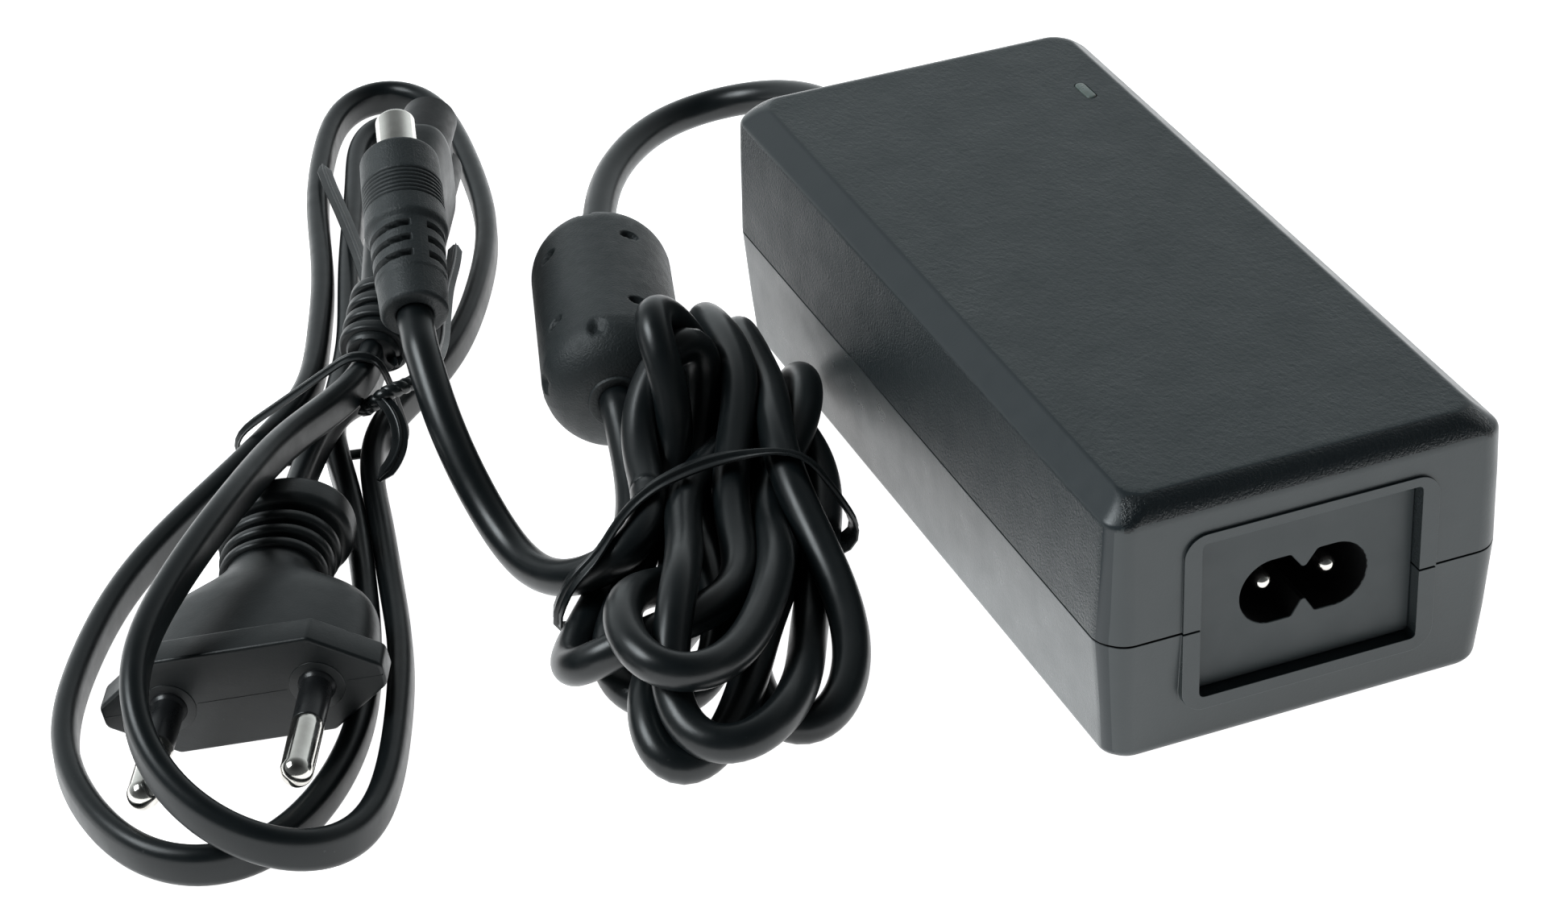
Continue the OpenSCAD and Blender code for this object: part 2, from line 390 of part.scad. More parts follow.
module transformer_bobbin() {
  color([0.18, 0.12, 0.06]) translate([-2.6, 16, top_z + 5.65]) difference() {
    union() {
      translate([-9.1, -11.1, 0]) cube([18.2, 22.2, 1.1]);
      translate([-9.1, -9.6, 11.6]) cube([18.2, 19.2, 1.1]);
      cylinder(r = 5.6, h = 12.7, $fn = 48);
    }
    translate([0, 0, -1]) cylinder(r = 4.6, h = 20, $fn = 48);
  }
  color([0.18, 0.12, 0.06]) translate([-2.6, 16, top_z + 0.05]) for (s = [-1, 1]) translate([-9.1, s * 12.35 - 1.3, 0]) cube([18.2, 2.6, 6.7]);
}
module transformer_winding() { color([0.85, 0.7, 0.2]) translate([-2.6, 16, top_z + 6.9]) difference() { cylinder(r = 8.7, h = 10.2, $fn = 64); translate([0, 0, -1]) cylinder(r = 5.75, h = 12, $fn = 48); } }
module y_capacitor() { color([0.15, 0.35, 0.7]) { translate([16, 20.6, top_z + 5.6]) rotate([90, 0, 0]) cylinder(r = 4.2, h = 3, $fn = 48); for (s = [-1, 1]) translate([16 + s * 2.4, 19.1, pcb_z + 1.65]) cylinder(r = 0.35, h = 2.5, $fn = 24); } }
module optocoupler() { color([0.9, 0.9, 0.88]) translate([15, 25, top_z + 0.6]) cube([6.4, 4.6, 3.6]); color([0.7, 0.7, 0.7]) for (x = [14.6, 21.4]) for (y = [25.8, 28.3]) translate([x, y, top_z + 0.05]) cube([0.4, 0.6, 2.2]); }
module control_ic() { color([0.07, 0.07, 0.07]) translate([-18, -29.6, top_z + 0.35]) cube([5, 4, 1.5]); color([0.7, 0.7, 0.7]) for (i = [0:3]) for (s = [0, 1]) translate([-17.6 + i * 1.27, -30.4 + s * 4.8, top_z + 0.05]) cube([0.4, 0.8, 0.5]); }
module secondary_heatsink() { color([0.75, 0.76, 0.78]) difference() { translate([21, 32.5, top_z + 0.1]) cube([1.5, 19.6, 17.6]); translate([18, 46, top_z + 0.05 + 14.4]) rotate([0, 90, 0]) cylinder(r = 1.7, h = 8, $fn = 32); } }
module output_diode() { translate([20.9, 46, top_z + 0.05]) mirror([1, 0, 0]) to220(); }
module output_capacitors() {
  color([0.06, 0.2, 0.16]) for (p = [[-16.5, 35.6], [-5.5, 35.6]]) translate([p[0], p[1], top_z + 0.05]) difference() {
    cylinder(r = 5, h = 21, $fn = 64);
    translate([0, 0, 2.2]) difference() { cylinder(r = 6, h = 0.8, $fn = 64); translate([0, 0, -1]) cylinder(r = 4.7, h = 3, $fn = 64); }
  }
}
module output_inductor() {
  color([0.16, 0.16, 0.17]) translate([5.8, 34.6, top_z + 0.05]) { cylinder(r = 4.6, h = 1.6, $fn = 48); cylinder(r = 1.6, h = 12, $fn = 48); translate([0, 0, 10.4]) cylinder(r = 4.6, h = 1.6, $fn = 48); translate([0, 0, 1.5]) cylinder(r = 3.9, h = 9, $fn = 48); }
}
module screw(l) { cylinder(r = 1.45, h = l, $fn = 32); translate([0, 0, l]) difference() { cylinder(r = 2.9, h = 1.8, $fn = 48); translate([-2, -0.35, 1]) cube([4, 0.7, 2]); translate([-0.35, -2, 1]) cube([0.7, 4, 2]); } }
module heatsink_screws() {
  color([0.7, 0.7, 0.7]) {
    translate([-22.3, -1, top_z + 0.05 + 14.4]) rotate([0, 90, 0]) screw(5.7);
    translate([22.3, 46, top_z + 0.05 + 14.4]) rotate([0, -90, 0]) screw(5.7);
  }
}
module insulating_sheet() { color([0.85, 0.83, 0.75]) { translate([-23.4, -54.6, 2.35]) difference() { cube([46.8, 109.2, 0.35]); for (x = [-20, 20]) for (y = [-28, 50]) translate([x + 23.4, y + 54.6, -1]) cylinder(r = 2.5, h = 3, $fn = 32); } } }
module shield_plate() { color([0.7, 0.42, 0.25]) translate([-22.6, -33, 31.4]) difference() { cube([45.2, 68, 0.4]); } }
module output_wires() {
  for (s = [-1, 1]) color(s > 0 ? [0.6, 0.05, 0.04] : [0.03, 0.03, 0.03]) translate([s * 1.05, 0, 0]) {
    translate([0, 49.2, top_z + 0.05]) cylinder(r = 0.85, h = seam_z - 3 - top_z - 0.05, $fn = 32);
    translate([0, 52.2, seam_z - 3]) rotate([90, 0, 90]) rotate([0, 0, -90]) rotate_extrude(angle = 90, $fn = 48) translate([-3, 0]) circle(r = 0.85, $fn = 32);
    translate([0, 52.2, seam_z]) rotate([-90, 0, 0]) cylinder(r = 0.85, h = 0.95, $fn = 32);
  }
}
module cord_boot() {
  // moulded grommet held in the shell's exit, with a ribbed collar outside
  color([0.03, 0.03, 0.033]) translate([0, hl - wall - 1.5, seam_z]) rotate([-90, 0, 0]) difference() {
    union() {
      cylinder(r = 6.2, h = 1.4, $fn = 64);
      cylinder(r = 4.5, h = wall + 3.2, $fn = 64);
      translate([0, 0, wall + 1.6]) cylinder(r = 5.4, h = 1.6, $fn = 64);
      translate([0, 0, wall + 3.2]) cylinder(r1 = 4.6, r2 = 3.1, h = 8.4, $fn = 64);
      for (i = [0:2]) translate([0, 0, wall + 4.4 + i * 2.4]) cylinder(r = 4.4 - i * 0.45, h = 1.1, $fn = 64);
    }
    translate([0, 0, -1]) cylinder(r = dr + 0.2, h = 40, $fn = 48);
  }
}

// ------------------------------------------------------------- low-voltage lead
cord_color = [0.035, 0.038, 0.042];
module output_cord_start() {
  color(cord_color) cord(even(spl(concat([[0, hl - wall - 2.6, seam_z], [0, 61, seam_z]], start_route), 6), 3), disc(dr - 0.02, 12), false, true, dr);
}
module output_cord() { color(cord_color) cord(even(spl(lead_route, 6), 3), disc(dr, 12), true, false, dr); }
module at_ferrite() {
  a = unit(ferrite_near - ferrite_far);
  translate((ferrite_near + ferrite_far) / 2) rotate([0, 0, atan2(a.y, a.x)]) rotate([0, 90, 0]) children();
}
module ferrite_cover() {
  r = ferrite_d / 2; h = ferrite_l / 2; e = 6.5;
  // rounded ends: one turned profile
  function prof() = concat([[2.7, -h], [r - e, -h]], [for (i = [1:5]) [r - e + e * sin(i * 18), -h + e - e * cos(i * 18)]],
    [for (i = [0:4]) [r - e + e * cos(i * 18), h - e + e * sin(i * 18)]], [[r - e, h], [2.7, h], [2.7, h - 2.6], [r - 1.6, h - 5.6], [r - 1.6, -h + 5.6], [2.7, -h + 2.6]]);
  color([0.04, 0.042, 0.045]) at_ferrite() difference() {
    rotate_extrude($fn = 72) polygon(prof());
    // oval dimples in two rings
    for (z = [-10.5, 10.5]) for (k = [0:4]) rotate([0, 0, k * 72 + (z > 0 ? 20 : 56)]) translate([r, 0, z]) rotate([0, 90, 0]) scale([0.5, 1, 1]) translate([0, 0, -0.7]) cylinder(r = 1.25, h = 2, $fn = 24);
  }
}
module ferrite_core() { color([0.2, 0.2, 0.21]) at_ferrite() difference() { translate([0, 0, -14]) cylinder(r = ferrite_d / 2 - 1.8, h = 28, $fn = 64); translate([0, 0, -15]) cylinder(r = 3, h = 30, $fn = 48); } }
module output_cord_coil() {
  P = coil_all(); n = len(P);
  color(cord_color) cord([for (i = [0:n - 1 - tail_steps]) P[i]], disc(dr, 8), false, true, dr);
}
module cord_tie() {
  P = coil_all(); c = [coil_waist[0], coil_waist[1], 5.5];
  Q = polarhull(crossing(P, c, tie_dir, 20), dr * 1.09, dr * 1.09, 0.75, 36);
  color([0.05, 0.05, 0.052]) band([for (q = Q) [q[0], q[1]]], c, tie_dir, 2.6, 0.7);
}
module plug_cord() {
  P = coil_all(); n = len(P);
  color(cord_color) cord([for (i = [n + 1 - tail_steps:n - 1]) P[i]], disc(dr, 10), true, false, dr);
}
plug_at = [-77, 46, 21.4];
plug_yaw = 75;
plug_pitch = 19;
module at_plug() { translate(plug_at) rotate([0, 0, plug_yaw]) rotate([0, 90 - plug_pitch, 0]) children(); }
module barrel_plug_body() {
  r = plug_d / 2;
  color([0.035, 0.037, 0.04]) at_plug() difference() {
    rotate([0, 0, 200]) rotate_extrude($fn = 72) polygon(concat([[0, 0.5], [4.1, 0.5], [4.7, 1.1], [4.7, 5.5], [5.0, 5.8], [5.0, 14.1], [r - 0.05, 14.8], [r - 0.05, 15.7]],
      [for (i = [0:5]) each [[r - 0.02, 15.9 + i * 0.9], [r - 0.02, 16.3 + i * 0.9], [r - 0.3, 16.45 + i * 0.9], [r - 0.3, 16.65 + i * 0.9]]],
      [[r - 0.05, 21.6], [r - 0.1, 27.3], [r - 1, 28.5], [0, 28.5]]));
    // strain-relief slots: three part rings, bridged on the parting plane
    rotate([0, 0, 200]) for (z = [6.8, 9.4, 12]) difference() {
      translate([0, 0, z]) cylinder(r = 7, h = 1.15, $fn = 64);
      translate([0, 0, z - 1]) cylinder(r = 3.7, h = 3, $fn = 64);
      translate([-9, -1.2, z - 1]) cube([18, 2.4, 3]);
    }
    translate([0, 0, 13.6]) cylinder(r = barrel_r + 0.35, h = 20, $fn = 64);
  }
}
module barrel_plug_sleeve() { color([0.8, 0.8, 0.78]) at_plug() translate([0, 0, 13.7]) difference() {
  union() { cylinder(r = barrel_r + 0.35, h = 14.8, $fn = 64); translate([0, 0, 14.8]) cylinder(r = barrel_r, h = barrel_l, $fn = 64); }
  translate([0, 0, -1]) cylinder(r = barrel_r - 0.45, h = 40, $fn = 64);
} }
module barrel_plug_insulator() { color([0.02, 0.02, 0.02]) at_plug() translate([0, 0, 13.8]) difference() { cylinder(r = barrel_r - 0.47, h = 14.7 + barrel_l + 0.25, $fn = 64); translate([0, 0, 2]) cylinder(r = 1.55, h = 40, $fn = 48); } }
module barrel_plug_contact() { color([0.75, 0.68, 0.45]) at_plug() translate([0, 0, 15.9]) difference() { cylinder(r = 1.5, h = 16.7, $fn = 48); translate([0, 0, 1]) cylinder(r = 1.25, h = 40, $fn = 48); } }

// -------------------------------------------------------------------- mains lead
module mains_cord() { color(cord_color) cord(mains_all(), flat8(mains_w, mains_h)); }
module mains_tie() {
  c = [mains_waist[0], mains_waist[1], 5];
  Q = polarhull(crossing(mains_all(), c, mains_tie_dir, 16), mains_w / 2, mains_h / 2, 0.4, 36);
  color([0.05, 0.05, 0.052]) band(Q, c, mains_tie_dir, 2.4, 0.6);
}
euro_at = [-118, -10, 8.6];
module at_euro() { translate(euro_at) rotate([0, 0, -114.7]) rotate([10, 0, 0]) children(); }
module oval(w, t, x0, x1, w2 = -1, t2 = -1) {
  // lens-shaped slab across Y between two positions on the plug's axis
  hull() for (e = [[x0, w, t], [x1, w2 < 0 ? w : w2, t2 < 0 ? t : t2]]) translate([e[0], 0, 0]) rotate([0, 90, 0]) linear_extrude(0.02)
    polygon([for (a = [0:20:340]) [sin(a) * e[2] / 2, cos(a) * e[1] / 2 * (1 - 0.06 * pow(abs(sin(a)), 2))]]);
}
module euro_flange(x0, x1) {
  translate([x0, 0, 0]) rotate([90, 0, 90]) linear_extrude(x1 - x0) polygon([[-euro_w / 2, -1.4], [-9.6, -euro_t / 2], [9.6, -euro_t / 2], [euro_w / 2, -1.4], [euro_w / 2, 1.4], [9.6, euro_t / 2], [-9.6, euro_t / 2], [-euro_w / 2, 1.4]]);
}
module mains_plug_body() {
  color([0.035, 0.036, 0.038]) at_euro() difference() {
    union() {
      euro_flange(-4.6, 0);
      oval(31, 12.6, -14, -4.6, 33.5, 13.2);
      oval(15, 10.5, -23.5, -14, 31, 12.6);
      oval(11.5, 10, -40, -23.4, 12, 10);
      for (i = [0:2]) oval(15.3 + i * 1.5, 12 + i * 0.6, -28 - i * 4.4, -25.9 - i * 4.4);
    }
    translate([-11.05, -13.05, -3.05]) cube([10.06, 26.1, 6.1]);
    for (s = [-1, 1]) translate([-5, s * 9.3, 0]) rotate([0, 90, 0]) cylinder(r = 2.45, h = 8, $fn = 48);
    translate([-50, -2.25, -3.05]) cube([40, 4.5, 6.1]);
  }
}
module mains_plug_carrier() {
  color([0.5, 0.5, 0.48]) at_euro() difference() {
    translate([-11, -13, -3]) cube([9.9, 26, 6]);
    for (s = [-1, 1]) translate([-12, s * 9.3, 0]) rotate([0, 90, 0]) cylinder(r = 1.65, h = 14, $fn = 48);
  }
}
module euro_pin() {
  // one pin, its own axis along X, leaning slightly towards the other
  translate([-10, 0, 0]) rotate([0, 90, 0]) cylinder(r = 1.6, h = 20, $fn = 48);
  translate([10, 0, 0]) rotate([0, 90, 0]) cylinder(r = euro_pin_r, h = euro_pin_l - 12, $fn = 48);
  translate([euro_pin_l - 2, 0, 0]) intersection() { sphere(r = euro_pin_r, $fn = 48); translate([0, -3, -3]) cube([3, 6, 6]); }
}
module mains_plug_pins() { color([0.78, 0.77, 0.74]) at_euro() for (s = [-1, 1]) translate([0, s * 9.3, 0]) euro_pin(); }
module mains_pin_sleeves() { color([0.03, 0.03, 0.03]) at_euro() for (s = [-1, 1]) translate([-1.0, s * 9.3, 0]) rotate([0, 90, 0]) difference() { cylinder(r = 1.82, h = 10.9, $fn = 48); translate([0, 0, -1]) cylinder(r = 1.62, h = 20, $fn = 48); } }

c7_tail = [-81.6, 53.2, 12.6];
c7_face = [-57.4, 99.3, 17.6];
module at_c7() {
  d = c7_face - c7_tail;
  translate(c7_face) rotate([0, 0, atan2(d.y, d.x)]) rotate([90, -asin(d.z / norm(d)), 0]) children();
}
module c7_form(x0, x1, g) {
  // round-ended body section, wide side across Y
  translate([x0, 0, 0]) rotate([0, 90, 0]) for (s = [-1, 1]) translate([0, s * (4.15 + g * 0.4), 0]) cylinder(r = 4.0 + g, h = x1 - x0, $fn = 48);
  translate([x0, -4.15 - g * 0.4, -4.0 - g]) cube([x1 - x0, 8.3 + g * 0.8, 8 + 2 * g]);
}
module mains_connector_body() {
  L = norm(c7_face - c7_tail);
  color([0.035, 0.036, 0.038]) at_c7() difference() {
    union() {
      c7_form(-24, -8, 0.6);
      oval(16.6, 9.6, -32, -24, 17.6, 9.6);
      oval(8, 8, -38, -32, 16.6, 9.6);
      for (i = [0:2]) oval(7.4, 9.2, -L + 1.2 + i * 3.8, -L + 3.6 + i * 3.8);
      oval(6.8, 7.4, -L + 0.5, -36);
    }
    translate([-21, -4.2, -3.05]) cube([22, 8.4, 6.1]);
    translate([-21, 0, 0]) rotate([0, 90, 0]) for (s = [-1, 1]) translate([0, s * 4.15, 0]) cylinder(r = 3.05, h = 30, $fn = 48);
    translate([-L - 2, -2.95, -1.95]) cube([30, 5.9, 3.9]);
  }
}
module mains_connector_insert() {
  color([0.05, 0.05, 0.05]) at_c7() difference() {
    union() {
      translate([-20.9, 0, 0]) rotate([0, 90, 0]) for (s = [-1, 1]) translate([0, s * 4.15, 0]) cylinder(r = 3.0, h = 20.9, $fn = 48);
      translate([-20.9, -4.1, -2.9]) cube([20.9, 8.2, 5.8]);
      translate([-7.8, 0, 0]) rotate([0, 90, 0]) for (s = [-1, 1]) translate([0, s * 4.15, 0]) cylinder(r = 3.95, h = 7.8, $fn = 64);
      translate([-7.8, -2.4, -2.7]) cube([7.8, 4.8, 5.4]);
    }
    for (s = [-1, 1]) translate([-19, s * 4.3, 0]) rotate([0, 90, 0]) cylinder(r = 1.75, h = 18, $fn = 48);
    for (s = [-1, 1]) translate([-3, s * 4.3, 0]) rotate([0, 90, 0]) cylinder(r = 1.3, h = 5, $fn = 48);
  }
}
module mains_connector_contacts() { color([0.75, 0.65, 0.35]) at_c7() for (s = [-1, 1]) translate([-16, s * 4.3, 0]) rotate([0, 90, 0]) difference() { cylinder(r = 1.7, h = 13, $fn = 48); translate([0, 0, 1]) cylinder(r = 1.3, h = 20, $fn = 48); } }

upper_case();
lower_case();
rating_label();
inlet_housing();
inlet_pins();
inlet_terminals();
led_window();
indicator_led();
main_board();
fuse();
varistor();
x_capacitor();
choke_core();
choke_windings();
bridge_rectifier();
bulk_capacitor();
primary_heatsink();
primary_transistor();
transformer_core();
transformer_bobbin();
transformer_winding();
y_capacitor();
optocoupler();
control_ic();
secondary_heatsink();
output_diode();
output_capacitors();
output_inductor();
heatsink_screws();
insulating_sheet();
shield_plate();
output_wires();
cord_boot();
output_cord_start();
output_cord();
ferrite_cover();
ferrite_core();
output_cord_coil();
cord_tie();
plug_cord();
barrel_plug_body();
barrel_plug_sleeve();
barrel_plug_insulator();
barrel_plug_contact();
mains_cord();
mains_tie();
mains_plug_body();
mains_plug_carrier();
mains_plug_pins();
mains_pin_sleeves();
mains_connector_body();
mains_connector_insert();
mains_connector_contacts();
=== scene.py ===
import math
import bpy
import bmesh
import numpy as np
from mathutils import Matrix, Vector


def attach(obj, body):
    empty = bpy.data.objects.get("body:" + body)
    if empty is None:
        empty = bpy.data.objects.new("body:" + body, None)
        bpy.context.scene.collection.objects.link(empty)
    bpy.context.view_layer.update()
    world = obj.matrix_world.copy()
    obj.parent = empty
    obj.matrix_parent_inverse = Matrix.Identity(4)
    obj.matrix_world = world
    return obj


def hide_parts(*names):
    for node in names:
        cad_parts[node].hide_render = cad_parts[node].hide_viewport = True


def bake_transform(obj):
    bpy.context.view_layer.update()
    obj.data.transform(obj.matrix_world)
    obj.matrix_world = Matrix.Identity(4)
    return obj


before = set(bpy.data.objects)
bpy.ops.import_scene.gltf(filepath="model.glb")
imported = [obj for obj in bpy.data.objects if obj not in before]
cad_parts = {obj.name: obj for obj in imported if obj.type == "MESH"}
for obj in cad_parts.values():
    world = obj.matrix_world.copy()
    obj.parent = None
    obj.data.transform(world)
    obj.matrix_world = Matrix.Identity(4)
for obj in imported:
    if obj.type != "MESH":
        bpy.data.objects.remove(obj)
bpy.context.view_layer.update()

scene = bpy.context.scene
MM = 0.001
rng = np.random.RandomState(7)


# light of the pale studio: (height of the sky direction, brightness), (away from the viewer, share), then the soft boxes
FLOOR_GLOW = 1.1
WORLD_K = 1.0
WORLD = [(0.0, 1.0), (0.15, 1.0), (0.35, 0.85), (0.53, 0.62), (0.75, 0.3), (1.0, 0.16)]
WORLD_BACK = [(0.0, 0.10), (0.35, 0.15), (0.6, 0.45), (0.9, 1.0)]
LIGHTS = [
    ("key", (-0.75, 0.22, 0.8), (-0.05, 0.03, 0.0), (0.55, 0.45), 8.0, (0.93, 1.0, 1.03)),
]

# ---------------------------------------------------------------- materials
class Mat:
    """Small helper that wires one procedural material."""

    def __init__(self, name):
        self.m = bpy.data.materials.new(name)
        self.m.use_nodes = True
        self.t = self.m.node_tree
        self.t.nodes.clear()
        self.out = self.t.nodes.new("ShaderNodeOutputMaterial")
        self.b = self.t.nodes.new("ShaderNodeBsdfPrincipled")
        self.t.links.new(self.b.outputs[0], self.out.inputs[0])
        self.co = self.t.nodes.new("ShaderNodeTexCoord").outputs["Object"]
        self.normal = None

    def link(self, a, b):
        self.t.links.new(a, b)

    def noise(self, scale, detail=3.0, rough=0.55, dist=0.0, stretch=None):
        n = self.t.nodes.new("ShaderNodeTexNoise")
        n.inputs["Scale"].default_value = scale
        n.inputs["Detail"].default_value = detail
        n.inputs["Roughness"].default_value = rough
        n.inputs["Distortion"].default_value = dist
        src = self.co
        if stretch:
            mp = self.t.nodes.new("ShaderNodeMapping")
            mp.inputs["Scale"].default_value = stretch
            self.link(src, mp.inputs["Vector"])
            src = mp.outputs[0]
        self.link(src, n.inputs["Vector"])
        return n.outputs["Fac"]

    def voronoi(self, scale, feature="F1"):
        n = self.t.nodes.new("ShaderNodeTexVoronoi")
        n.feature = feature
        n.inputs["Scale"].default_value = scale
        self.link(self.co, n.inputs["Vector"])
        return n.outputs["Distance"]

    def ramp(self, src, stops):
        r = self.t.nodes.new("ShaderNodeValToRGB")
        el = r.color_ramp.elements
        while len(el) < len(stops):
            el.new(0.5)
        for e, (p, c) in zip(el, stops):
            e.position = p
            e.color = (*c, 1) if len(c) == 3 else (c[0], c[0], c[0], 1)
        self.link(src, r.inputs[0])
        return r.outputs[0]

    def map(self, src, a, b, c, d):
        n = self.t.nodes.new("ShaderNodeMapRange")
        for i, v in zip((1, 2, 3, 4), (a, b, c, d)):
            n.inputs[i].default_value = v
        self.link(src, n.inputs[0])
        return n.outputs[0]

    def bump(self, src, strength, dist_mm):
        b = self.t.nodes.new("ShaderNodeBump")
        b.inputs["Strength"].default_value = strength
        b.inputs["Distance"].default_value = dist_mm * MM
        self.link(src, b.inputs["Height"])
        if self.normal is not None:
            self.link(self.normal, b.inputs["Normal"])
        self.normal = b.outputs[0]
        self.link(self.normal, self.b.inputs["Normal"])
        return self

    def done(self):
        return self.m


def plastic(name, lo, hi, rough=(0.4, 0.5), grains=(), big=60.0, spec=0.5, coat=0.0, coat_rough=0.2, specks=0.0):
    """Moulded plastic: two tones mixed by a broad noise, roughness that wanders, and the grains given as (scale, detail, strength, depth mm, stretch)."""
    m = Mat(name)
    n = m.noise(big, 4, 0.6)
    col = m.ramp(n, [(0.3, lo), (0.7, hi)])
    # pale specks mixed into the base colour; on the end fillets they are painted glints
    if specks > 0:
        sp = m.ramp(m.noise(1500, 2, 0.5), [(0.0, (0,)), (0.74, (0,)), (0.78, (1,))])
        mix = m.t.nodes.new("ShaderNodeMixRGB")
        mix.blend_type = "MIX"
        mul = m.t.nodes.new("ShaderNodeMath")
        mul.operation = "MULTIPLY"
        mul.inputs[1].default_value = specks
        m.link(sp, mul.inputs[0])
        m.link(mul.outputs[0], mix.inputs[0])
        m.link(col, mix.inputs[1])
        mix.inputs[2].default_value = (0.35, 0.36, 0.36, 1)
        col = mix.outputs[0]
    m.link(col, m.b.inputs["Base Color"])
    m.link(m.map(m.noise(big * 4.3, 5, 0.6), 0.3, 0.7, rough[0], rough[1]), m.b.inputs["Roughness"])
    m.b.inputs["Specular IOR Level"].default_value = spec
    if coat:
        m.b.inputs["Coat Weight"].default_value = coat
        m.b.inputs["Coat Roughness"].default_value = coat_rough
    for g in grains:
        m.bump(m.noise(g[0], g[1], 0.6, 0.0, g[4] if len(g) > 4 else None), g[2], g[3])
    return m.done()


def metal(name, lo, hi, rough=(0.18, 0.3), scratch=(900, 900, 60), strength=0.25, big=300.0):
    m = Mat(name)
    m.link(m.ramp(m.noise(big, 4), [(0.3, lo), (0.7, hi)]), m.b.inputs["Base Color"])
    m.b.inputs["Metallic"].default_value = 1.0
    m.link(m.map(m.noise(1.0, 5, 0.6, 0.0, scratch), 0.3, 0.7, rough[0], rough[1]), m.b.inputs["Roughness"])
    m.bump(m.noise(1.0, 4, 0.6, 0.0, scratch), strength, 0.004)
    m.bump(m.noise(big * 2, 3), strength, 0.006)
    return m.done()


CASE_LO, CASE_HI = (0.0275, 0.0335, 0.0355), (0.0315, 0.0375, 0.0395)
M = {}
# brick: coarse spark texture on the top, sparkling grain on the long sides, finer matt elsewhere; the base tones differ
# by face direction as painted light and shade, the top a little darker than the end faces
M["case_top"] = plastic("case_top", (0.023, 0.0315, 0.034), (0.0265, 0.035, 0.0375), (0.44, 0.54), [(1700, 3, 0.8, 0.16, (1.0, 0.6, 1.0)), (3600, 3, 0.8, 0.07, (1.0, 0.7, 1.0))], 35, 0.5)
# upper shell long sides: base tone darker than the top, painted shade
M["case_side"] = plastic("case_side", (0.018, 0.0245, 0.027), (0.0215, 0.0285, 0.031), (0.30, 0.40), [(1900, 2, 0.8, 0.10), (3800, 3, 1.0, 0.09)], 45, 0.6)
# lower shell sides and bottom: base tone lighter than the upper side, a painted reflection of the pale floor
M["case_side_low"] = plastic("case_side_low", (0.026, 0.0345, 0.037), (0.030, 0.0385, 0.041), (0.26, 0.34), [(2300, 2, 0.4, 0.05), (4600, 3, 0.6, 0.04)], 45, 0.85)
# chamfers and other leftover faces: smoother finish, and a base tone darkened as painted shade
M["case_smooth"] = plastic("case_smooth", (0.012, 0.0185, 0.022), (0.0145, 0.0215, 0.025), (0.30, 0.38), [(2400, 2, 0.35, 0.03), (5200, 2, 0.35, 0.02)], 60, 0.45)
# end fillets: base tone darkened as painted shade, with pale specks mixed in as painted glints
M["case_fillet"] = plastic("case_fillet", (0.007, 0.0105, 0.0125), (0.009, 0.013, 0.015), (0.22, 0.30), [(1900, 2, 0.8, 0.08), (3600, 3, 1.0, 0.09)], 60, 0.5, specks=0.10)
M["case_end"] = plastic("case_end", (0.026, 0.0345, 0.037), (0.030, 0.0385, 0.041), (0.34, 0.42), [(900, 2, 0.2, 0.04), (2800, 3, 0.5, 0.04)], 60, 0.55)
# near-black for the shell interiors, the seam tongue and the inlet cavity walls: painted shade in the recesses
M["inner_black"] = plastic("inner_black", (0.004, 0.004, 0.0045), (0.008, 0.008, 0.009), (0.5, 0.65), [(2000, 2, 0.3, 0.03)], 80, 0.25)
M["inlet_face"] = plastic("inlet_face", (0.024, 0.032, 0.0345), (0.028, 0.036, 0.0385), (0.42, 0.52), [(1800, 2, 0.25, 0.03), (4200, 3, 0.35, 0.02)], 60, 0.5)
M["cord"] = plastic("cord", (0.0042, 0.0066, 0.0076), (0.0058, 0.0084, 0.0096), (0.28, 0.36), [(160, 2, 0.12, 0.12), (900, 3, 0.05, 0.04)], 90, 0.46, specks=0.05)
M["flat_cord"] = plastic("flat_cord", (0.0042, 0.0066, 0.0076), (0.0060, 0.0086, 0.0098), (0.30, 0.39), [(150, 2, 0.14, 0.13), (1000, 3, 0.06, 0.04)], 90, 0.34, specks=0.05)
M["moulded"] = plastic("moulded", (0.0125, 0.017, 0.0185), (0.018, 0.0235, 0.025), (0.46, 0.58), [(1500, 2, 0.4, 0.08), (3400, 3, 1.0, 0.09)], 120, 0.5)
M["plug"] = plastic("plug", (0.0045, 0.0066, 0.0074), (0.0065, 0.009, 0.0098), (0.34, 0.44), [(600, 2, 0.15, 0.06), (3000, 3, 0.35, 0.04)], 90, 0.42, specks=0.04)
M["sleeve"] = plastic("sleeve", (0.008, 0.009, 0.01), (0.012, 0.013, 0.014), (0.25, 0.35), [(900, 2, 0.15, 0.03)], 120, 0.5)
M["tie"] = plastic("tie", (0.005, 0.0072, 0.008), (0.0075, 0.010, 0.011), (0.26, 0.35), [(500, 2, 0.2, 0.06), (2500, 3, 0.2, 0.02)], 200, 0.5)
M["nickel"] = metal("nickel", (0.62, 0.60, 0.56), (0.76, 0.74, 0.70), (0.09, 0.2), (700, 700, 700), 0.12)
M["steel"] = metal("steel", (0.5, 0.5, 0.51), (0.68, 0.68, 0.69), (0.28, 0.42))
M["brass"] = metal("brass", (0.62, 0.46, 0.2), (0.78, 0.6, 0.3), (0.2, 0.34))
M["copper"] = metal("copper", (0.62, 0.27, 0.13), (0.78, 0.38, 0.2), (0.2, 0.36))
M["aluminium"] = metal("aluminium", (0.62, 0.63, 0.65), (0.76, 0.77, 0.79), (0.3, 0.46), (40, 1400, 40))
M["plastic_black"] = plastic("plastic_black", (0.012, 0.012, 0.013), (0.02, 0.02, 0.021), (0.4, 0.55), [(2200, 3, 0.3, 0.03)], 150)
